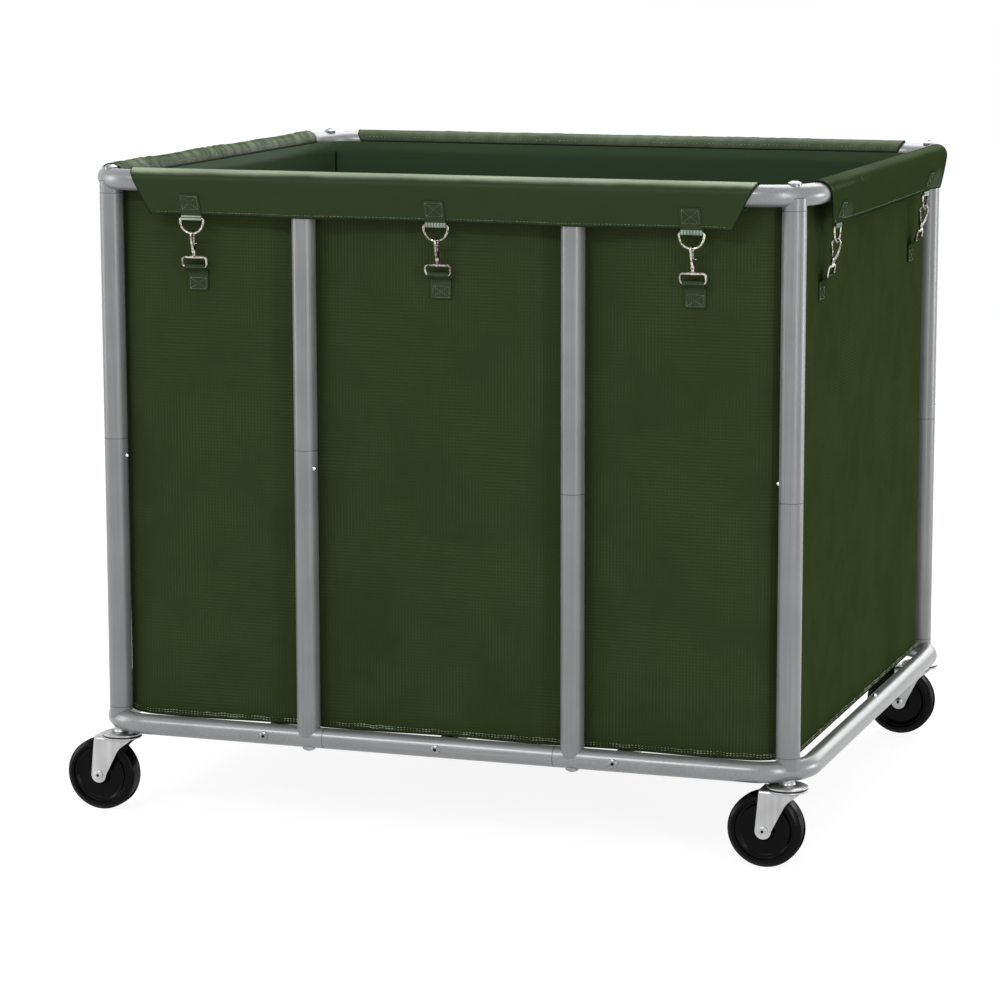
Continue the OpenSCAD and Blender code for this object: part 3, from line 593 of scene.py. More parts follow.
def wire(points: list[Vector], radii: list[float], closed: bool = False) -> bmesh.types.BMesh:
    """Makes a round wire along points.

    Args:
        points: The wire's middle line.
        radii: Its radius at each point.
        closed: Whether it is a ring.

    Returns:
        The wire's mesh, with closed ends.
    """
    curve = bpy.data.curves.new("wire", "CURVE")
    curve.dimensions = "3D"
    curve.bevel_depth = 1.0
    curve.bevel_resolution = 3
    curve.use_fill_caps = True
    spline = curve.splines.new("POLY")
    spline.points.add(len(points) - 1)
    for target, point, radius in zip(spline.points, points, radii):
        target.co = (*point, 1.0)
        target.radius = radius
    spline.use_cyclic_u = closed
    holder = bpy.data.objects.new("wire", curve)
    mesh = bpy.data.meshes.new_from_object(holder)
    shape = bmesh.new()
    shape.from_mesh(mesh)
    bmesh.ops.remove_doubles(shape, verts=shape.verts[:], dist=WELD)
    bmesh.ops.recalc_face_normals(shape, faces=shape.faces[:])
    bpy.data.objects.remove(holder)
    bpy.data.curves.remove(curve)
    bpy.data.meshes.remove(mesh)
    return shape


def add_shape(target: bmesh.types.BMesh, part: bmesh.types.BMesh, move: Matrix) -> None:
    """Adds a moved copy of one mesh to another, and frees the first.

    Args:
        target: The mesh that grows.
        part: The mesh that is added.
        move: Where it goes.
    """
    part.transform(move)
    if move.determinant() < 0:
        bmesh.ops.reverse_faces(part, faces=part.faces[:])
    holder = bpy.data.meshes.new("part")
    part.to_mesh(holder)
    part.free()
    target.from_mesh(holder)
    bpy.data.meshes.remove(holder)


def add_socket(
    shape: bmesh.types.BMesh, spot: tuple[float, float, float], radius: float, turn: float = 0.0
) -> None:
    """Adds the dark six-sided floor of a screw's socket, with its face just proud of a spot.

    Args:
        shape: The mesh that takes it.
        spot: The middle of the screw head's face.
        radius: The socket's radius.
        turn: How far it is turned about X from facing up, in degrees.
    """
    depth, proud = 0.9 * MM, 0.1 * MM
    part = bmesh.new()
    bmesh.ops.create_cone(
        part, cap_ends=True, segments=6, radius1=radius, radius2=radius, depth=depth,
        matrix=Matrix.Translation((0, 0, proud - depth / 2)),
    )
    move = Matrix.Translation(spot) @ Matrix.Rotation(math.radians(turn), 4, "X")
    add_shape(shape, part, move)


def stitch_row(
    shape: bmesh.types.BMesh,
    path: Callable[[float], tuple[Vector, Vector]],
    length: float,
    pitch: float = 6.0 * MM,
    thread: float = 0.55 * MM,
    uneven: float = 0.0,
) -> None:
    """Adds a row of stitches to a mesh.

    Args:
        shape: The mesh that takes them.
        path: Gives a place and the row's way there, from a share of the row from 0 to 1.
        length: The row's length, in metres.
        pitch: The distance from stitch to stitch.
        thread: The thread's radius.
        uneven: How much the stitches differ in height and size, from 0 to 1.
    """
    count = max(1, round(length / pitch))
    for number in range(count):
        place, way = path((number + 0.5) / count)
        drift = uneven * ripple(place, 11 * MM, 4.0)
        swell = 1 + 1.1 * uneven * ripple(place, 23 * MM, 9.0)
        place = place + Vector((0, 0, 1.6 * MM * drift))
        turn = way.to_track_quat("X", "Z").to_matrix().to_4x4()
        size = Matrix.Diagonal((0.36 * pitch * swell, thread, thread * swell, 1.0))
        bmesh.ops.create_icosphere(
            shape, subdivisions=1, radius=1.0, matrix=Matrix.Translation(place) @ turn @ size
        )


# ---- The cart's own sizes ----


class Side(Enum):
    """A side of the cart, and how far round from the front it is, in degrees."""

    FRONT = 0
    RIGHT = 90
    BACK = 180
    LEFT = 270

    @property
    def is_long(self) -> bool:
        """Whether this is one of the two long sides."""
        return self in (Side.FRONT, Side.BACK)


@dataclass
class CartSizes:
    """Where the cart's tubes run, measured from the loaded frame."""

    middle: float
    half_length: float
    half_width: float
    high: float
    low: float
    rail_r: float
    post_r: float
    post_reach: float
    bag_low: float
    bag_inset: float

    @classmethod
    def measure(cls) -> CartSizes:
        """Returns the sizes, read from the boxes of the CAD nodes."""
        low_corner, high_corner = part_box("top_corner_front_left")
        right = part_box("top_corner_front_right")[1].x
        rail_r = (high_corner.z - low_corner.z) / 2
        bottom_low, bottom_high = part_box("bottom_corner_front_left")
        post_low, post_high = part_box("post_front_mid_left")
        bag_low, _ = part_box("bag_body")
        middle = (low_corner.x + right) / 2
        return cls(
            middle=middle,
            half_length=(right - low_corner.x) / 2 - rail_r,
            half_width=-low_corner.y - rail_r,
            high=(low_corner.z + high_corner.z) / 2,
            low=(bottom_low.z + bottom_high.z) / 2,
            rail_r=rail_r,
            post_r=(post_high.x - post_low.x) / 2,
            post_reach=middle - (post_low.x + post_high.x) / 2,
            bag_low=bag_low.z,
            bag_inset=bag_low.y + (-low_corner.y - rail_r),
        )

    def on_side(self, side: Side, along: float = 0.0, height: float | None = None) -> Matrix:
        """Returns a place on a side's rail axis, with -Y outwards.

        Args:
            side: The side of the cart.
            along: How far along it from its middle.
            height: The height, or None for the top rail's.

        Returns:
            The place's matrix.
        """
        reach = self.half_width if side.is_long else self.half_length
        return (
            Matrix.Translation((self.middle, 0, self.high if height is None else height))
            @ Matrix.Rotation(math.radians(side.value), 4, "Z")
            @ Matrix.Translation((along, -reach, 0))
        )

    def side_length(self, side: Side) -> float:
        """Returns the distance between the rails at a side's two ends."""
        return 2 * (self.half_length if side.is_long else self.half_width)


# ---- Fabric ----


@dataclass
class Bag:
    """The canvas bag: four walls with rounded corners, and a floor on the cross tubes."""

    sizes: CartSizes
    corner_r: float = 56 * MM
    floor_r: float = 2.5 * MM
    thickness: float = 1.8 * MM
    cell: float = 18 * MM
    wall_wave: float = 1.6 * MM
    floor_sag: float = 7 * MM
    foot_sag: float = 1.6 * MM
    tube_span: float = 250 * MM
    stitch_rows: tuple[float, float] = (4.5 * MM, 7.5 * MM)
    shade_welt_r: float = 1.8 * MM
    hold: float = 60 * MM

    @property
    def reach(self) -> Vector:
        """Half the bag's outer length and width."""
        inset = self.sizes.bag_inset
        return Vector((self.sizes.half_length - inset, self.sizes.half_width - inset))

    def outline(self, share: float, grow: float = 0.0) -> tuple[Vector, Vector]:
        """Returns a point and the way of the bag's outline.

        Args:
            share: How far round it is, from 0 to 1, from the middle of the front.
            grow: How far outside the bag's wall it runs.

        Returns:
            The point on the ground plane, and the way the outline runs there.
        """
        half_x, half_y = self.reach.x + grow, self.reach.y + grow
        radius = self.corner_r + grow
        straight_x, straight_y = half_x - radius, half_y - radius
        turn = math.pi / 2 * radius
        runs = [straight_x, turn, 2 * straight_y, turn, 2 * straight_x, turn, 2 * straight_y, turn,
                straight_x]
        left = share * sum(runs)
        place, heading = Vector((0.0, -half_y)), 0.0
        for number, run in enumerate(runs):
            step = min(left, run)
            if number % 2 == 0:
                place = place + step * Vector((math.cos(heading), math.sin(heading)))
            else:
                angle = step / radius
                centre = place + radius * Vector((-math.sin(heading), math.cos(heading)))
                heading += angle
                place = centre + radius * Vector((math.sin(heading), -math.cos(heading)))
            left -= step
            if left <= 0:
                break
        way = Vector((math.cos(heading), math.sin(heading), 0.0))
        return Vector((place.x + self.sizes.middle, place.y, 0.0)), way

    def outline_length(self) -> float:
        """Returns the distance round the bag."""
        return 4 * (self.reach.x + self.reach.y) - (8 - math.tau) * self.corner_r

    def soften(self, place: Vector) -> Vector:
        """Moves a point of the taut bag to where the hung cloth lies.

        Args:
            place: A point of the plain bag.

        Returns:
            The point with the wall's soft waves and the floor's sag.
        """
        local = place - Vector((self.sizes.middle, 0, 0))
        height = place.z - self.sizes.bag_low
        # The cloth hangs between the cross tubes, which stand under its middle and to each side.
        hang = math.sin(math.pi * local.x / self.tube_span) ** 2
        if height < 0.5 * self.floor_r:
            inside = (1 - smooth_step(0.75, 1.0, abs(local.x) / self.reach.x)) * (
                1 - smooth_step(0.75, 1.0, abs(local.y) / self.reach.y)
            )
            sag = self.foot_sag + (self.floor_sag - self.foot_sag) * inside
            return place - Vector((0, 0, sag * hang))
        held = 1 - smooth_step(0, self.hold, height)
        place = place - Vector((0, 0, self.foot_sag * hang * held))
        below = self.sizes.high - place.z
        free = smooth_step(0.0, self.hold, height) * smooth_step(0.0, 50 * MM, below)
        inwards = Vector((local.x / self.reach.x, local.y / self.reach.y, 0))
        inwards = Vector(
            (-math.copysign(1, inwards.x) if abs(inwards.x) > abs(inwards.y) else 0,
             -math.copysign(1, inwards.y) if abs(inwards.y) >= abs(inwards.x) else 0, 0)
        )
        slow = 0.5 + 0.5 * ripple(place, 320 * MM, 3.0)
        quick = ripple(Vector((place.x, place.y, 0.35 * place.z)), 75 * MM, 8.0)
        depth = self.wall_wave * (1.4 * slow + 0.25 * quick)
        return place + free * depth * inwards

    def make(self) -> bpy.types.Object:
        """Builds the bag from a box: opens it, rounds it, cuts it into cells and lets it hang."""
        sizes = self.sizes
        height = sizes.high - sizes.bag_low
        shape = bmesh.new()
        bmesh.ops.create_cube(
            shape,
            size=1.0,
            matrix=Matrix.Translation((sizes.middle, 0, sizes.bag_low + height / 2))
            @ Matrix.Diagonal((2 * self.reach.x, 2 * self.reach.y, height, 1.0)),
        )
        lid = [face for face in shape.faces if face.normal.z > 0.9]
        bmesh.ops.delete(shape, geom=lid, context="FACES_ONLY")
        upright = [
            edge for edge in shape.edges
            if abs(edge.verts[0].co.z - edge.verts[1].co.z) > 0.5 * height
        ]
        bmesh.ops.bevel(
            shape, geom=upright, offset=self.corner_r, offset_type="OFFSET", affect="EDGES",
            segments=10, profile=0.5, material=-1,
        )
        foot = [
            edge for edge in shape.edges
            if all(abs(end.co.z - sizes.bag_low) < 0.1 * MM for end in edge.verts)
            and len(edge.link_faces) == 2
        ]
        bmesh.ops.bevel(
            shape, geom=foot, offset=self.floor_r, offset_type="OFFSET", affect="EDGES",
            segments=3, profile=0.5, material=-1,
        )
        self._cut_cells(shape)
        self._map_cloth(shape)
        for point in shape.verts:
            point.co = self.soften(point.co)
        bmesh.ops.recalc_face_normals(shape, faces=shape.faces[:])
        piece = make_piece("bag", shape, [BAG_CANVAS, BAG_LINING], sharp=60.0)
        thicken(piece, self.thickness, offset=-1.0, rim=1)
        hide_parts("bag_body")
        return piece

    def _cut_cells(self, shape: bmesh.types.BMesh) -> None:
        """Cuts the walls and the floor into cells of about the cell size."""
        sizes = self.sizes
        cuts: list[tuple[Vector, Vector]] = []
        for axis, low, high in (
            (Vector((1, 0, 0)), sizes.middle - self.reach.x + self.corner_r,
             sizes.middle + self.reach.x - self.corner_r),
            (Vector((0, 1, 0)), -self.reach.y + self.corner_r, self.reach.y - self.corner_r),
            (Vector((0, 0, 1)), sizes.bag_low + self.floor_r, sizes.high),
        ):
            count = round((high - low) / self.cell)
            cuts += [(axis * (low + (high - low) * n / count), axis) for n in range(1, count)]
        for place, normal in cuts:
            bmesh.ops.bisect_plane(
                shape, geom=shape.verts[:] + shape.edges[:] + shape.faces[:], dist=WELD,
                plane_co=place, plane_no=normal,
            )

    def _map_cloth(self, shape: bmesh.types.BMesh) -> None:
        """Lays the cloth map on: round and up the walls, and flat on the floor."""
        cloth = shape.loops.layers.uv.new("cloth")
        straight = self.reach - Vector((self.corner_r, self.corner_r))
        for face in shape.faces:
            middle = face.calc_center_median() - Vector((self.sizes.middle, 0, 0))
            is_floor = abs(face.normal.z) > 0.9
            for corner in face.loops:
                local = corner.vert.co - Vector((self.sizes.middle, 0, 0))
                if is_floor:
                    corner[cloth].uv = (local.x, local.y)
                elif abs(middle.x) > straight.x and abs(middle.y) > straight.y:
                    turn = math.atan2(abs(local.y) - straight.y, abs(local.x) - straight.x)
                    corner[cloth].uv = (turn * self.corner_r, local.z)
                elif abs(middle.x) > straight.x:
                    corner[cloth].uv = (local.y, local.z)
                else:
                    corner[cloth].uv = (local.x, local.z)

    def make_stitches(self) -> bpy.types.Object:
        """Sews the pale row that closes the wall's foot."""
        shape = bmesh.new()
        for up in self.stitch_rows:

            def path(share: float, up: float = up) -> tuple[Vector, Vector]:
                """Gives the row's place and way."""
                place, way = self.outline(share)
                return place + Vector((0, 0, self.sizes.bag_low + up)), way

            stitch_row(shape, path, self.outline_length(), pitch=4.5 * MM, uneven=0.9)
        return make_piece("bag_foot_stitches", shape, [PALE_THREAD])

    def make_corner_welts_and_shade(self) -> bpy.types.Object:
        """Lays a dark upright welt inside each corner: partly the corner seam, partly painted shade
        in the corner's fold.
        """
        shape = bmesh.new()
        sizes = self.sizes
        quarter = math.pi / 2 * self.corner_r
        length = self.outline_length()
        run = self.reach.x - self.corner_r + quarter / 2
        along_x, along_y = (2 * (reach - self.corner_r) for reach in self.reach)
        for step in (0.0, along_y, along_x, along_y):
            run += step + (quarter if step else 0.0)
            foot, _ = self.outline(run / length, grow=-self.thickness - 1.2 * MM)
            heights = [sizes.bag_low + 8 * MM + n * 24 * MM for n in range(31)]
            top = sizes.high - 12 * MM
            line = [foot + Vector((0, 0, height)) for height in heights if height < top]
            part = wire(line, [self.shade_welt_r] * len(line))
            add_shape(shape, part, Matrix.Identity(4))
        return make_piece("bag_corner_welts_and_shade", shape, [BINDING_AND_SHADE])


@dataclass
class Flap:
    """One top edge of the bag, folded out over its rail and pulled down by the hooks."""

    sizes: CartSizes
    side: Side
    hooks: list[float]
    fold_r: float = 16.5 * MM
    seam_depth: float = 21 * MM
    drop: float = 43.6 * MM
    hem_out_hooked: float = 3.2 * MM
    hem_out_free: float = 8.5 * MM
    hem_out_end: float = 13.5 * MM
    post_gap: float = 1.3 * MM
    end_top: float = 63 * MM
    end_hem: float = 94 * MM
    thickness: float = 1.5 * MM
    crease: float = 0.35 * MM
    # How strong the painted highlight along the crest is, and the angle round the fold where it
    # starts; the angle where it ends is given below.
    rub: float = 1.0
    rub_from: float = 60.0
    # Where across the flap the dark welt of painted shade at the seam lies.
    shade_welt: float = 0.19
    seam_row: float = 0.245
    columns: int = 320
    rows: int = 40
    hem_up: float = 3.2 * MM
    hang_curve: float = 1.2
    rub_edge: float = 133.0
    shade_welt_r: float = 1.4 * MM

    @property
    def arc(self) -> float:
        """The cloth's length round the rail."""
        return math.pi * self.fold_r

    @property
    def width(self) -> float:
        """The cloth's width, from the inner seam to the hem."""
        return self.seam_depth + self.arc + self.drop

    @property
    def posts(self) -> list[float]:
        """Where the middle posts stand along this side."""
        reach = self.sizes.post_reach
        return [-reach, reach] if self.side.is_long else []

    def hem_out(self, along: float) -> float:
        """Returns how far outside the rail's axis the hem hangs, at a place along the side."""
        half = self.sizes.side_length(self.side) / 2 - self.end_hem
        out = self.hem_out_free
        near_end = smooth_step(half - 55 * MM, half, abs(along))
        out += (self.hem_out_end - out) * near_end
        for hook in self.hooks:
            out += (self.hem_out_hooked - out) * bump_at(along, hook, 42 * MM)
        for post in self.posts:
            out += (self.sizes.post_r + self.post_gap - out) * bump_at(along, post, 46 * MM, 4)
        return out

    def face_out(self, along: float, share: float) -> float:
        """Returns how far outside the rail's axis the cloth hangs, at a share of its drop."""
        return self.fold_r + (self.hem_out(along) - self.fold_r) * share ** self.hang_curve

    def section(self, across: float, along: float) -> tuple[float, float]:
        """Returns a point of the flap's section.

        Args:
            across: The share of the section, from the inner seam at 0 to the hem at 1.
            along: The place along the side.

        Returns:
            How far the point is inwards of the rail's axis, and how far above it.
        """
        run = across * self.width
        if run < self.seam_depth:
            return self.fold_r, run - self.seam_depth
        if run < self.seam_depth + self.arc:
            angle = (run - self.seam_depth) / self.fold_r
            return self.fold_r * math.cos(angle), self.fold_r * math.sin(angle)
        down = run - self.seam_depth - self.arc
        return -self.face_out(along, down / self.drop), -down

    def crease_depth(self, along: float, across: float) -> float:
        """Returns how high the cloth's creases stand at a place."""
        seed = 11.0 + self.side.value
        slow = ripple(Vector((along, 0.12 * across, 0)), 90 * MM, seed)
        where = Vector((along + 0.05 * across, 0.09 * across, 0))
        ridge = 1 - 4.0 * abs(ripple(where, 21 * MM, seed + 5))
        fine = ripple(where, 9 * MM, seed + 7)
        folds = max(0.0, ridge) * smooth_step(-0.25, 0.35, slow) + 0.35 * fine
        over_top = bump_at(across, 0.34, 0.26)
        return self.crease * (folds * over_top + 0.5 * slow)

    def rub_at(self, along: float, across: float) -> float:
        """Returns the painted highlight: pale light painted along the crest, with an uneven edge,
        fainter along the creases as painted shade.
        """
        run = across * self.width - self.seam_depth
        angle = math.degrees(run / self.fold_r)
        seed = 31.0 + self.side.value
        spot = Vector((along, 0, 0))
        edge = self.rub_edge + 5 * ripple(spot, 60 * MM, seed)
        edge += 2.5 * ripple(spot, 14 * MM, seed)
        shade = 0.8 + 0.35 * ripple(spot, 130 * MM, seed + 3)
        shade *= smooth_step(self.rub_from, self.rub_from + 35 + 0.6 * (60 - self.rub_from), angle)
        slanted = Vector((along + 0.25 * run, 0.15 * run, 0))
        fold = 1 - 3.5 * abs(ripple(slanted, 30 * MM, seed + 9))
        shade *= 1 - min(0.8, max(0.0, self.crease / MM - 0.3)) * max(0.0, fold)
        return self.rub * shade * (1 - smooth_step(edge - 12, edge + 14, angle))

    def point(self, along_share: float, across: float) -> Vector:
        """Returns a point of the flap, on its side of the cart.

        Args:
            along_share: The share along the flap, from 0 to 1.
            across: The share across it, from the inner seam at 0 to the hem at 1.

        Returns:
            The point in the row frame.
        """
        half_side = self.sizes.side_length(self.side) / 2
        _, level = self.section(across, 0.0)
        slope = (self.end_hem - self.end_top) / (self.fold_r + self.drop)
        half = half_side - self.end_top - slope * (self.fold_r - level)
        along = (2 * along_share - 1) * half
        inwards, up = self.section(across, along)
        step_in, step_up = self.section(min(1.0, across + 0.01), along)
        back_in, back_up = self.section(max(0.0, across - 0.01), along)
        way = Vector((step_in - back_in, step_up - back_up)).normalized()
        depth = self.crease_depth(along, across) * smooth_step(0.12, 0.25, across)
        local = Vector((along, inwards + way.y * depth, up - way.x * depth))
        return self.sizes.on_side(self.side) @ local

    def make(self) -> bpy.types.Object:
        """Builds the flap as one folded sheet."""
        across = self.width
        length = self.sizes.side_length(self.side) - 2 * self.end_top
        shape = mapped_sheet(self.columns, self.rows, (length, across), self.point)
        cloth = shape.loops.layers.uv["cloth"]
        # Each point keeps its share of the painted highlight for the cloth's shader.
        rub = shape.verts.layers.float.new("rub")
        for vertex in shape.verts:
            along, run = vertex.link_loops[0][cloth].uv
            vertex[rub] = self.rub_at(along, run / across)
        name = f"flap_{self.side.name.lower()}"
        piece = make_piece(name, shape, [FLAP_CANVAS], sharp=80.0)
        thicken(piece, self.thickness)
        if self.side is Side.FRONT:
            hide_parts("bag_flaps")
        return piece

    def row(
        self, across: float, start: float, lift: float
    ) -> Callable[[float], tuple[Vector, Vector]]:
        """Returns the path of a row along the flap.

        Args:
            across: The row's share across the flap, from the inner seam to the hem.
            start: The share of the flap that it leaves free at each end.
            lift: How far outside the cloth's middle it lies.

        Returns:
            A rule that gives the row's place and way at a share along it.
        """
        outside = self.sizes.on_side(self.side).to_3x3() @ Vector((0, -1, 0))
        span, nudge = 1 - 2 * start, 0.002

        def path(share: float) -> tuple[Vector, Vector]:
            """Gives the row's place and way."""
            here, ahead, behind = (
                self.point(start + span * spot, across)
                for spot in (share, min(1.0, share + nudge), max(0.0, share - nudge))
            )
            return here + outside * lift, (ahead - behind).normalized()

        return path

    def make_stitches(self) -> bpy.types.Object:
        """Sews the hem, and on the two sides seen from inside the seam on the wall."""
        shape = bmesh.new()
        lift = 0.5 * self.thickness + 0.15 * MM
        length = self.sizes.side_length(self.side) - 2 * self.end_hem
        hem = self.row(1 - self.hem_up / self.width, 0.012, lift)
        stitch_row(shape, hem, length, pitch=5 * MM, thread=0.4 * MM, uneven=0.25)
        if self.side in (Side.BACK, Side.LEFT):
            seam = self.row(self.seam_row, 0.01, -lift)
            stitch_row(shape, seam, length, pitch=6 * MM, thread=0.5 * MM, uneven=0.4)
        return make_piece(f"flap_{self.side.name.lower()}_stitches", shape, [GREEN_THREAD])

    def make_binding(self) -> bpy.types.Object:
        """Rolls a dark bound edge along the hem and the slanted ends, which also stands for the
        shadow under the hem, and a dark welt along the seam, which is painted shade in the seam's
        gap.
        """
        ends, steps, seam_steps = 24, 160, 80
        hem = [self.point(n / steps, 1.0) for n in range(steps + 1)]
        left, right = (
            [self.point(end, 0.2 + 0.8 * n / ends) for n in range(ends)] for end in (0.0, 1.0)
        )
        line = left + hem + right[::-1]
        shape = wire(line, [0.5 * self.thickness + 0.25 * MM] * len(line))
        inside = self.sizes.on_side(self.side).to_3x3() @ Vector((0, 0.5 * self.thickness, 0))
        seam = [
            self.point(n / seam_steps, self.shade_welt) + inside for n in range(seam_steps + 1)
        ]
        add_shape(shape, wire(seam, [self.shade_welt_r] * len(seam)), Matrix.Identity(4))
        return make_piece(f"flap_{self.side.name.lower()}_binding", shape, [BINDING_AND_SHADE])


# ---- Webbing and hooks ----

# A snap hook's shapes in millimetres, from the top of its arch: the shank's points, the wire's
# radii from the tip down, and profile corners as radius, height and the radius that rounds them.
SHANK = ((0, -5.3, -10), (0, -4.8, -14), (0, -4.0, -18), (0, -2.9, -22), (0, -1.6, -25))
HOOK_RADII = (1.4, *[1.6] * 13, 1.8, 2.0, 2.2, 2.4, 2.7)
BARREL = (
    (0, -33.2, 0), (3.0, -33.2, 0.5), (3.2, -31.8, 0.3), (2.5, -31.4, 0.2), (2.5, -30.6, 0.2),
    (3.3, -30.2, 0.3), (3.3, -25.6, 1.2), (2.1, -23.4, 0.8), (0, -23.4, 0),
)
SWIVEL = (
    (0, -37.2, 0), (1.9, -37.2, 0.5), (1.9, -34.6, 0.5), (1.3, -34.2, 0.2), (1.3, -33.0, 0),
    (0, -33.0, 0),
)


@dataclass
class HookPlace:
    """One hook's place: its side, how far along it, and its name."""

    side: Side
    along: float
    name: str


@dataclass
class HookSet:
    """A webbing tab on the flap, a snap hook, and the webbing tab on the bag that it pulls on."""

    sizes: CartSizes
    place: HookPlace
    flap: Flap
    lean: float = math.radians(10)
    tab_width: float = 29 * MM
    tab_t: float = 1.5 * MM
    wire_r: float = 1.4 * MM
    loop_wire_r: float = 1.8 * MM
    bar_down: float = 49 * MM
    bar_out: float = 3.05 * MM
    hook_down: float = 66.9 * MM
    arch_r: float = 5.5 * MM
    loop_top: float = 36 * MM
    loop_width: float = 35.0 * MM
    loop_height: float = 13.2 * MM
    loop_corner: float = 4.2 * MM
    lower_tab_h: float = 25 * MM
    tab_fall: float = math.radians(30)

    @property
    def tab_top(self) -> float:
        """How far down the flap's face the upper tab starts."""
        return self.flap.drop * 0.37

    @property
    def tab_lift(self) -> float:
        """How far the upper tab's middle is from the flap's."""
        return (self.flap.thickness + self.tab_t) / 2 + 0.1 * MM

    @property
    def loop_low(self) -> float:
        """How far down the hook its base loop's foot is."""
        return self.loop_top + self.loop_height

    def frame_matrix(self) -> Matrix:
        """Returns the place on the top rail's axis above this hook, with -Y outwards."""
        return self.sizes.on_side(self.place.side, self.place.along)

    def hook_matrix(self) -> Matrix:
        """Returns the top of the hook's arch, with -Z down the leaning hook."""
        return (
            self.frame_matrix()
            @ Matrix.Translation((0, -self.bar_out, -self.hook_down))
            @ Matrix.Rotation(self.lean, 4, "X")
        )

    def ribbon(self, line: list[Vector], name: str, finishes: list[Finish]) -> bpy.types.Object:
        """Makes a webbing strap that follows a line.

        Args:
            line: The strap's middle line, as points outwards and up in the hook's own frame.
            name: The piece's name.
            finishes: Its finishes.

        Returns:
            The strap.
        """
        steps = [0.0]
        for start, end in zip(line, line[1:]):
            steps.append(steps[-1] + (end - start).length)
        total = steps[-1]
        place = self.frame_matrix()

        def point(across: float, along: float) -> Vector:
            """Gives a point of the strap."""
            run = along * total
            number = max(n for n, step in enumerate(steps[:-1]) if step <= run + 1e-9)
            share = (run - steps[number]) / (steps[number + 1] - steps[number])
            out, up = line[number].lerp(line[number + 1], share)
            return place @ Vector(((across - 0.5) * self.tab_width, -out, up))

        rows = max(12, round(total / (1.2 * MM)))
        shape = mapped_sheet(8, rows, (self.tab_width, total), point)
        piece = make_piece(name, shape, finishes, sharp=80.0)
        thicken(piece, self.tab_t)
        soften_edges(piece, 0.35 * MM)
        return piece

    def flap_face(self, up: float, lift: float) -> Vector:
        """Returns a point just outside the flap at this hook, as outwards and up."""
        share = min(1.0, max(0.0, -up / self.flap.drop))
        return Vector((self.flap.face_out(self.place.along, share) + lift, up))

    def eye(
        self, centre: Vector, bar_r: float, start: float, end: float, steps: int = 10
    ) -> list[Vector]:
        """Returns points round a bar.

        Args:
            centre: The bar's place, as outwards and up.
            bar_r: The bar's radius.
            start: The first point's angle from straight outwards, in degrees.
            end: The last point's angle.
            steps: How many steps the turn takes.

        Returns:
            The points, in order.
        """
        radius = bar_r + 0.15 * MM + self.tab_t / 2
        angles = [math.radians(start + (end - start) * n / steps) for n in range(steps + 1)]
        return [centre + radius * Vector((math.cos(a), math.sin(a))) for a in angles]

    def make_upper_tab(self) -> bpy.types.Object:
        """Sews the upper tab: down the flap's face, round the D-ring's bar and up behind."""
        lift, top = self.tab_lift, self.tab_top
        bar = Vector((self.bar_out, -self.bar_down))
        front = [self.flap_face(-top - (self.flap.drop - top) * n / 8, lift) for n in range(9)]
        behind_top = Vector((self.flap_face(-30 * MM, -lift).x, -34 * MM))
        line = front + self.eye(bar, self.wire_r + 0.4 * MM, 10, -190) + [behind_top]
        piece = self.ribbon(line, f"upper_tab_{self.place.name}", [WEBBING, WEBBING_LOOP])
        bar_height = (self.frame_matrix() @ Vector((0, 0, -self.bar_down + 3.5 * MM))).z
        for face in piece.data.polygons:
            if face.center.z < bar_height:
                face.material_index = 1
        return piece

    def make_lower_tab(self) -> bpy.types.Object:
        """Sews the lower tab: round the base loop's foot and down onto the bag."""
        down, out = self.loop_low * math.cos(self.lean), self.loop_low * math.sin(self.lean)
        centre = Vector((self.bar_out - out, -self.hook_down - down))
        wall = -self.sizes.bag_inset + self.tab_t / 2 + 0.2 * MM
        line = self.eye(centre, self.loop_wire_r, -20, 240, 14)
        leave = line[-1]
        sewn_top = leave.y - (leave.x - wall) * math.tan(self.tab_fall)
        sewn = Vector((wall, sewn_top))
        foot = Vector((wall, sewn_top - self.lower_tab_h))
        soften = [leave.lerp(sewn, 0.5), sewn.lerp(leave, 0.12), sewn.lerp(foot, 0.08)]
        line = line + soften + [sewn.lerp(foot, n / 6) for n in range(1, 7)]
        return self.ribbon(line, f"lower_tab_{self.place.name}", [WEBBING])

    def make_stitches(self) -> bpy.types.Object:
        """Sews a box with crossed rows on each tab."""
        shape = bmesh.new()
        place = self.frame_matrix()
        half = self.tab_width / 2 - 3 * MM
        lift = self.tab_lift + self.tab_t / 2 + 0.15 * MM
        wall = -self.sizes.bag_inset + self.tab_t + 0.35 * MM
        loop_end = -self.hook_down - self.loop_low * math.cos(self.lean)
        sewn_low = loop_end - 12 * MM - self.lower_tab_h

        def upper(across: float, down: float) -> Vector:
            """Gives a place on the upper tab's face."""
            face = self.flap_face(-self.tab_top - down, lift)
            return place @ Vector((across, -face.x, face.y))

        def lower(across: float, down: float) -> Vector:
            """Gives a place on the lower tab's face."""
            return place @ Vector((across, -wall, sewn_low + 24 * MM - down))

        for spot, depth in ((upper, 21 * MM), (lower, 18 * MM)):
            near, far = 3 * MM, 3 * MM + depth - 3 * MM
            corners = [(-half, near), (half, near), (half, far), (-half, far)]
            lines = [(corners[n], corners[(n + 1) % 4]) for n in range(4)]
            lines += [(corners[0], corners[2]), (corners[1], corners[3])]
            for start, end in lines:
                self._stitch_line(shape, spot, start, end)
        return make_piece(f"tab_stitches_{self.place.name}", shape, [GREEN_THREAD])

    def _stitch_line(
        self,
        shape: bmesh.types.BMesh,
        spot: Callable[[float, float], Vector],
        start: tuple[float, float],
        end: tuple[float, float],
    ) -> None:
        """Adds one straight row of stitches between two points of a tab's face."""

        def path(share: float) -> tuple[Vector, Vector]:
            """Gives the row's place and way."""
            across = start[0] + (end[0] - start[0]) * share
            down = start[1] + (end[1] - start[1]) * share
            way = spot(*end) - spot(*start)
            return spot(across, down), way.normalized()

        stitch_row(shape, path, math.dist(start, end), pitch=3.0 * MM, thread=0.4 * MM)

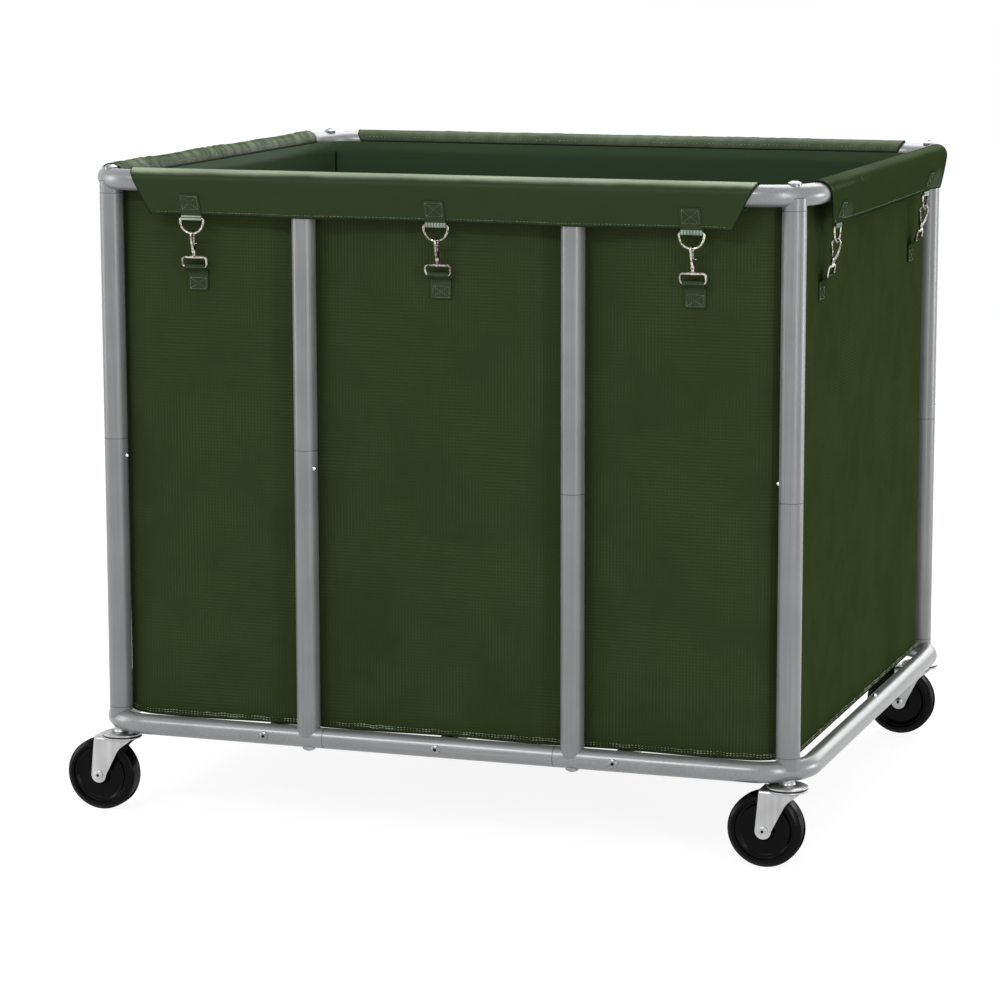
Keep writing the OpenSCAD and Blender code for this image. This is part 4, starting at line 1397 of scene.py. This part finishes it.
    def make_hook(self) -> bpy.types.Object:
        """Casts the hook's body and bends its base loop."""
        shape = bmesh.new()
        place = self.hook_matrix()
        arch = [
            Vector((0, self.arch_r * math.cos(a), -self.arch_r + self.arch_r * math.sin(a)))
            for a in (math.pi * n / 12 for n in range(13))
        ]
        tip = [Vector((0, self.arch_r, -self.arch_r - 2.3 * MM))]
        shank = [Vector(point) for point in in_mm(*SHANK)]
        radii = [radius * MM for radius in HOOK_RADII]
        add_shape(shape, wire(tip + arch + shank, radii), place)
        for profile, steps in ((BARREL, 20), (SWIVEL, 16)):
            add_shape(shape, lathe(rounded(in_mm(*profile), 3), steps, closed=False), place)
        half_w, corner = self.loop_width / 2, self.loop_corner
        loop: list[Vector] = []
        radii = []
        for turn in range(4):
            side_x = 1 if turn in (0, 3) else -1
            side_z = 1 if turn in (0, 1) else -1
            centre = Vector(
                (side_x * (half_w - corner), 0,
                 -self.loop_top - self.loop_height / 2 + side_z * (self.loop_height / 2 - corner))
            )
            for step in range(7):
                angle = math.radians(90 * turn + 15 * step)
                loop.append(centre + corner * Vector((math.cos(angle), 0, math.sin(angle))))
                radii.append(self.loop_wire_r)
            if turn == 0:
                loop += [Vector((x, 0, -self.loop_top)) for x in (5 * MM, 0.0, -5 * MM)]
                radii += [swell * self.loop_wire_r for swell in (1.1, 1.3, 1.1)]
        add_shape(shape, wire(loop, radii, closed=True), place)
        return make_piece(f"snap_hook_{self.place.name}", shape, [NICKEL_WITH_PAINTED_REFLECTIONS])


# ---- Casters ----

# Profile corners in millimetres, as radius, height and the radius that rounds them. The crown's and
# the raceway's heights are from their own foot, and the wheel's from its middle.
CROWN = ((7, 0, 0.4), (27.5, 0, 0.8), (28.5, 1.6, 1.2), (26, 3, 1.0), (7, 3, 0.4))
RACEWAY = (
    (6.2, 0, 0.3), (27.15, 0, 0.1), (27.25, 1, 0), (27.35, 2.6, 1.2), (22.35, 4.6, 2.5),
    (15, 5.2, 2.0), (11, 5.2, 0.6), (10, 8, 0.5), (6.2, 8, 0.3),
)
WHEEL_SIDE = (
    (6.1, 17.1, 0.4), (13, 17.1, 1.0), (14.5, 9.8, 2.0), (33.5, 9.0, 3.0), (37.5, 12.8, 1.0),
    (39.5, 12.6, 0.6), (40.5, 16, 1.0), (44.5, 16, 1.2), (50.6, 11.5, 4.0),
)


@dataclass
class Caster:
    """One swivel caster: raceway cover, bent fork and moulded wheel."""

    name: str
    trail: float = 28 * MM
    wheel_r: float = 51 * MM
    crown_z: float = 104 * MM
    sheet: float = 3 * MM
    leg_out: float = 20 * MM
    leg_back: float = 34 * MM
    foot_r: float = 11 * MM
    fold_r: float = 5 * MM
    flare: float = 10 * MM
    raceway_z: float = 107.45 * MM
    groove_shade_band: float = 1.0 * MM
    pivot: Vector = field(default_factory=lambda: Vector((0, 0, 0)))

    def __post_init__(self) -> None:
        """Finds the swivel axis from the wheel's box."""
        low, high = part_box(f"wheel_{self.name}")
        self.pivot = Vector(((low.x + high.x) / 2 + self.trail, (low.y + high.y) / 2, 0))

    def leg_edges(self, height: float) -> tuple[float, float]:
        """Returns where the leg's back and front edges are at a height, from the swivel axis.

        Args:
            height: The height above the floor.

        Returns:
            The back edge's and the front edge's place along X.
        """
        axle = self.wheel_r
        if height < axle:
            half = math.sqrt(max(0.0, self.foot_r ** 2 - (axle - height) ** 2))
            return -self.trail - half, -self.trail + half
        share = (height - axle) / (self.crown_z - axle)
        back = -self.trail - self.foot_r + (self.foot_r + self.trail - self.leg_back) * share
        straight = -self.trail + self.foot_r + (self.trail - self.foot_r + self.flare) * share
        flare = self.flare * smooth_step(0.62, 1.0, share) ** 1.5
        return back, straight + flare

    def fork_point(self, across: float, along: float) -> Vector:
        """Returns a point of the bent fork strip.

        Args:
            across: The share across the strip, from its back edge at 0 to its front edge at 1.
            along: The share along it, from one foot at 0, over the crown, to the other at 1.

        Returns:
            The point in the row frame.
        """
        middle = self.leg_out - self.sheet / 2
        top = self.crown_z + self.sheet / 2
        foot = self.wheel_r - self.foot_r + 0.05 * MM
        leg = top - self.fold_r - foot
        turn = math.pi / 2 * self.fold_r
        flat = 2 * (middle - self.fold_r)
        total = 2 * leg + 2 * turn + flat
        run = min(along, 1 - along) * total
        side = -1 if along < 0.5 else 1
        if run < leg:
            # Points crowd towards the foot, so that its round end is smooth.
            height = foot + leg * (run / leg) ** 1.6
            out = middle
        elif run < leg + turn:
            angle = (run - leg) / self.fold_r
            height = top - self.fold_r + self.fold_r * math.sin(angle)
            out = middle - self.fold_r + self.fold_r * math.cos(angle)
        else:
            height = top
            out = middle - self.fold_r - (run - leg - turn)
        back, front = self.leg_edges(min(height, self.crown_z))
        return self.pivot + Vector((back + (front - back) * across, side * out, height))

    def plate(
        self, profile: tuple[tuple[float, float, float], ...], foot: float
    ) -> bmesh.types.BMesh:
        """Turns a plate about the swivel axis, from its profile and the height of its foot."""
        corners = [(radius, foot + up, edge) for radius, up, edge in in_mm(*profile)]
        shape = bmesh.new()
        add_shape(shape, lathe(rounded(corners), 48), Matrix.Translation(self.pivot))
        return shape

    def make_fork(self) -> bpy.types.Object:
        """Presses the fork: a strip bent over the crown, and the round crown plate."""
        body = f"caster_{self.name}"
        shape = mapped_sheet(12, 96, (60 * MM, 150 * MM), self.fork_point)
        piece = make_piece(f"fork_{self.name}", shape, [CASTER_STEEL], body, sharp=50)
        thicken(piece, self.sheet - 0.5 * MM)
        soften_edges(piece, 0.5 * MM, angle=50)
        crown = self.plate(CROWN, self.crown_z)
        make_piece(f"crown_plate_{self.name}", crown, [CASTER_STEEL], body)
        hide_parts(f"caster_fork_{self.name}")
        return piece

    def make_raceway(self) -> bpy.types.Object:
        """Presses the fixed raceway cover with its rolled lip, and paints shade on its lowest band.
        """
        shape = self.plate(RACEWAY, self.raceway_z)
        piece = make_piece(f"raceway_cover_{self.name}", shape, [CASTER_STEEL, GROOVE_SHADE])
        for face in piece.data.polygons:
            if face.center.z < self.raceway_z + self.groove_shade_band:
                face.material_index = 1
        return piece

    def make_wheel(self) -> bpy.types.Object:
        """Turns the wheel: hub, sunk web, ringed rim and rounded tread."""
        node = f"wheel_{self.name}"
        one_side = in_mm(*WHEEL_SIDE)
        other_side = [(r, -h, rounding) for r, h, rounding in reversed(one_side)]
        profile = rounded(one_side + [(self.wheel_r, 0.0, 0)] + other_side)
        low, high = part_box(node)
        axle = Matrix.Translation((low + high) / 2) @ Matrix.Rotation(math.pi / 2, 4, "X")
        shape = bmesh.new()
        add_shape(shape, lathe(profile, 72), axle)
        piece = make_piece(f"tyre_{self.name}", shape, [WHEEL_BLACK], node, sharp=50)
        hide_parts(node)
        return piece

    def make_sockets(self) -> bpy.types.Object:
        """Darkens the drive sockets at the axle's two ends."""
        low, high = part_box(f"caster_axle_{self.name}")
        middle = (low + high) / 2
        shape = bmesh.new()
        for outside, turn in ((low.y, 90), (high.y, -90)):
            add_socket(shape, (middle.x, outside, middle.z), 2.3 * MM, turn)
        return make_piece(f"axle_sockets_{self.name}", shape, [AXLE_SHADE], f"caster_{self.name}")


# ---- Frame ----


@dataclass
class TubeFrame:
    """The CAD tubes' finishes, and the fine lines where one tube plugs into the next."""

    sizes: CartSizes
    line_h: float = 1.1 * MM
    line_t: float = 0.12 * MM
    joint_off: float = 20 * MM
    neck: float = 5 * MM
    rail_joint: float = 165 * MM
    screw_off: float = 250 * MM

    def dress(self, nodes: dict[str, bpy.types.Object]) -> None:
        """Gives each CAD node that shows its finish.

        Args:
            nodes: The CAD nodes by name.
        """
        by_start: dict[str, Finish] = {
            "top_corner": BENT_TUBE, "bottom_corner": BENT_TUBE, "middle_tubes": RAIL_ALONG_X,
            "post": POST_TUBE, "cross_tubes": RAIL_ALONG_Y, "frame_fasteners": BOLT_STEEL,
            "caster_stems": CASTER_STEEL, "caster_fork": CASTER_STEEL, "caster_axle": AXLE_STEEL,
            "swivel_bearings": BALL_STEEL, "d_rings": NICKEL_WITH_PAINTED_REFLECTIONS, "snap_hooks": NICKEL_WITH_PAINTED_REFLECTIONS,
            "trigger": GATE_NICKEL_WITH_PAINTED_REFLECTIONS, "button": BUTTON_STEEL, "wheel": WHEEL_BLACK,
            "bag": BAG_CANVAS, "webbing": WEBBING,
        }
        for name, node in nodes.items():
            finish = next(f for start, f in by_start.items() if name.startswith(start))
            node.data.materials.clear()
            node.data.materials.append(finish.material())
            node.data.shade_smooth()
            weld = node.modifiers.new("Weld", "WELD")
            weld.merge_threshold = 0.002 * MM
            if name == "d_rings":
                stout = node.modifiers.new("Plating", "DISPLACE")
                stout.mid_level = 0.0
                stout.strength = 0.35 * MM
            split = node.modifiers.new("Sharp edges", "EDGE_SPLIT")
            split.split_angle = math.radians(32)

    def line_ring(self, radius: float) -> bmesh.types.BMesh:
        """Turns a thin dark ring round a tube that runs along Z."""
        half, inner, outer = self.line_h / 2, radius - 0.5 * MM, radius + self.line_t
        return lathe([(inner, -half), (outer, -half), (outer, half), (inner, half)], 40)

    def make_lines(self) -> bpy.types.Object:
        """Draws the gaps where the posts' halves and the rails' lengths meet, and the necks."""
        sizes = self.sizes
        shape = bmesh.new()
        middle = (sizes.high + sizes.low) / 2
        for end in ("front", "back"):
            for spot, turn in (("left", 1), ("mid_left", 1), ("mid_right", -1), ("right", -1)):
                low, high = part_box(f"post_{end}_{spot}")
                centre = (low + high) / 2
                heights = [middle + turn * self.joint_off]
                if not spot.startswith("mid"):
                    heights.append(sizes.high - sizes.rail_r - self.neck)
                    heights.append(sizes.low + sizes.rail_r + self.neck)
                for height in heights:
                    place = Matrix.Translation((centre.x, centre.y, height))
                    add_shape(shape, self.line_ring(sizes.post_r), place)
        across = Matrix.Rotation(math.pi / 2, 4, "Y")
        for side in (Side.FRONT, Side.BACK):
            for along in (-self.rail_joint, self.rail_joint):
                for height in (sizes.low, sizes.high):
                    place = sizes.on_side(side, along, height)
                    add_shape(shape, self.line_ring(sizes.rail_r), place @ across)
        return make_piece("tube_joint_lines", shape, [JOINT_SHADE])

    def make_sockets(self) -> bpy.types.Object:
        """Darkens the drive sockets of the rails' side screws and of the top ring's bolts."""
        sizes = self.sizes
        shape = bmesh.new()
        low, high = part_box("frame_fasteners")
        for along in (-self.screw_off, 0.0, self.screw_off):
            for outside, turn in ((low.y, 90), (high.y, -90)):
                add_socket(shape, (sizes.middle + along, outside, sizes.low), 2.5 * MM, turn)
        for corner in CORNERS:
            foot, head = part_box(f"post_{corner}")
            centre = (foot + head) / 2
            add_socket(shape, (centre.x, centre.y, high.z), 3.0 * MM)
        return make_piece("screw_sockets", shape, [SOCKET_SHADE])


# ---- Stage ----


@dataclass
class Studio:
    """A pale floor, soft lamps and the camera."""

    camera_place: Vector = field(default_factory=lambda: Vector((1.6192, -4.8191, 1.2545)))
    camera_turn: float = math.radians(18.976)
    camera_drop: float = math.radians(9.545)
    camera_roll: float = math.radians(-0.093)
    focal: float = 127.871
    floor_glow: float = 1.24
    floor_matt: float = 0.28
    sky: float = 0.54

    def make_floor(self) -> None:
        """Lays a wide white floor."""
        shape = bmesh.new()
        bmesh.ops.create_grid(shape, x_segments=1, y_segments=1, size=40.0)
        mesh = bpy.data.meshes.new("floor")
        shape.to_mesh(mesh)
        shape.free()
        floor = bpy.data.objects.new("floor", mesh)
        bpy.context.scene.collection.objects.link(floor)
        material = bpy.data.materials.new("White studio floor")
        graph = Graph.empty(material)
        ray = graph.add("LightPath").outputs
        seen = graph.reckon("MAXIMUM", ray["Is Camera Ray"], ray["Is Glossy Ray"])
        matt = graph.add("BsdfDiffuse", None, {"Color": (0.8, 0.8, 0.8, 1.0)}).outputs[0]
        bright = {"Color": WHITE, "Strength": self.floor_glow}
        glow = graph.add("Emission", None, bright).outputs[0]
        plain = graph.add("MixShader", {0: seen, 1: matt, 2: glow}).outputs[0]
        part = graph.add("MixShader", {1: plain, 2: matt}, {0: self.floor_matt}).outputs[0]
        graph.add("OutputMaterial", {"Surface": part})
        mesh.materials.append(material)

    def make_world(self) -> None:
        """Lights the room softly, and shows it white behind the cart."""
        world = bpy.data.worlds.new("Studio")
        bpy.context.scene.world = world
        graph = Graph.empty(world)
        ray = graph.add("LightPath").outputs
        glossy = graph.reckon("MAXIMUM", ray["Is Glossy Ray"], ray["Is Transmission Ray"])
        seen = graph.reckon("MAXIMUM", ray["Is Camera Ray"], glossy)
        soft, white = (
            graph.add("Background", None, {"Color": WHITE, "Strength": strength}).outputs[0]
            for strength in (self.sky, 1.0)
        )
        mix = graph.add("MixShader", {0: seen, 1: soft, 2: white})
        graph.add("OutputWorld", {"Surface": mix.outputs[0]})

    def add_lamp(
        self,
        name: str,
        turn: float,
        height: float,
        reach: float,
        size: tuple[float, float],
        power: float,
    ) -> None:
        """Adds one soft lamp that faces the cart.

        Args:
            name: The lamp's name.
            turn: Its direction from the cart, in degrees round from +X.
            height: Its height above the floor.
            reach: Its distance from the cart.
            size: Its width and height.
            power: Its power in watts.
        """
        data = bpy.data.lights.new(name, "AREA")
        data.shape = "RECTANGLE"
        data.size, data.size_y = size
        data.energy = power
        lamp = bpy.data.objects.new(name, data)
        lamp.visible_camera = False
        angle = math.radians(turn)
        lamp.location = (reach * math.cos(angle), reach * math.sin(angle), height)
        aim = Vector((0, 0, 0.5)) - lamp.location
        lamp.rotation_euler = aim.to_track_quat("-Z", "Y").to_euler()
        bpy.context.scene.collection.objects.link(lamp)

    def make_lamps(self) -> None:
        """Adds the key lamp, the lamp from above, and the lamps that edge the tubes."""
        for lamp in (
            ("key", -108, 3.3, 4.2, (2.6, 0.42), 64),
            ("strip_right", -42, 1.3, 4.0, (0.4, 2.4), 32),
            ("top", 90, 3.1, 1.5, (2.8, 2.6), 80),
            ("side_left", -165, 1.2, 4.0, (1.2, 2.2), 30),
            ("side_right", 24, 0.5, 4.0, (1.2, 0.9), 27),
            ("rim", 84, 1.35, 3.3, (4.2, 1.1), 42),
        ):
            self.add_lamp(*lamp)

    def make_camera(self) -> None:
        """Sets the camera at the viewing angle."""
        data = bpy.data.cameras.new("camera")
        data.sensor_width = 36.0
        data.lens = self.focal
        data.clip_end = 200.0
        camera = bpy.data.objects.new("camera", data)
        turn = Euler((math.pi / 2 - self.camera_drop, 0, self.camera_turn)).to_matrix().to_4x4()
        roll = Matrix.Rotation(self.camera_roll, 4, "Z")
        camera.matrix_world = Matrix.Translation(self.camera_place) @ turn @ roll
        bpy.context.scene.collection.objects.link(camera)
        bpy.context.scene.camera = camera

    def make(self) -> None:
        """Sets up the floor, the world, the lamps and the camera."""
        self.make_floor()
        self.make_world()
        self.make_lamps()
        self.make_camera()
        bpy.context.scene.view_settings.view_transform = "Standard"


# ---- The whole cart ----

# Each flap's crease height in millimetres, how strong its painted highlight is, and the angle that
# the highlight starts at.
FLAP_CREASES_AND_SHEEN = (
    (Side.FRONT, 0.15, 1.0, 60.0),
    (Side.RIGHT, 0.2, 0.15, 60.0),
    (Side.BACK, 0.6, 0.28, -40.0),
    (Side.LEFT, 1.2, 0.42, -25.0),
)


@dataclass
class LaundryCart:
    """The dressed cart, built from its sub-assemblies in order."""

    sizes: CartSizes
    long_hook: float = 350 * MM
    short_hook: float = 270 * MM

    def hook_places(self) -> list[HookPlace]:
        """Returns the place of each hook, side by side."""
        long, short = self.long_hook, self.short_hook
        named = {
            Side.FRONT: [("left", -long), ("middle", 0.0), ("right", long)],
            Side.RIGHT: [("front", -short), ("back", short)],
            Side.BACK: [("right", -long), ("middle", 0.0), ("left", long)],
            Side.LEFT: [("back", -short), ("front", short)],
        }
        return [
            HookPlace(side, along, f"{side.name.lower()}_{end}")
            for side, ends in named.items()
            for end, along in ends
        ]

    def make(self, nodes: dict[str, bpy.types.Object]) -> None:
        """Builds every piece.

        Args:
            nodes: The CAD nodes by name.
        """
        tubes = TubeFrame(self.sizes)
        tubes.dress(nodes)
        tubes.make_lines()
        tubes.make_sockets()
        bag = Bag(self.sizes)
        bag.make()
        bag.make_stitches()
        bag.make_corner_welts_and_shade()
        places = self.hook_places()
        flaps = {}
        for side, crease, rub, rub_from in FLAP_CREASES_AND_SHEEN:
            hooks = [place.along for place in places if place.side is side]
            flap = Flap(self.sizes, side, hooks, crease=crease * MM, rub=rub, rub_from=rub_from)
            flap.make()
            flap.make_stitches()
            flap.make_binding()
            flaps[side] = flap
        for place in places:
            hook = HookSet(self.sizes, place, flaps[place.side])
            tab = hook.make_upper_tab()
            hook.make_lower_tab()
            hook.make_stitches()
            body = hook.make_hook()
            if place is places[0]:
                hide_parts("webbing_tabs")
                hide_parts("snap_hooks")
        for name in CORNERS:
            caster = Caster(name)
            caster.make_fork()
            caster.make_raceway()
            caster.make_wheel()
            caster.make_sockets()


def main() -> None:
    """Loads the frame, builds the cart and the studio, and reports each piece."""
    logging.basicConfig(level=logging.INFO, format="%(name)s: %(message)s")
    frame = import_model()
    sizes = CartSizes.measure()
    LOG.info("sizes: %s", sizes)
    Studio().make()
    LaundryCart(sizes).make(frame["nodes"])
    bpy.context.view_layer.update()


if __name__ == "__main__":
    main()
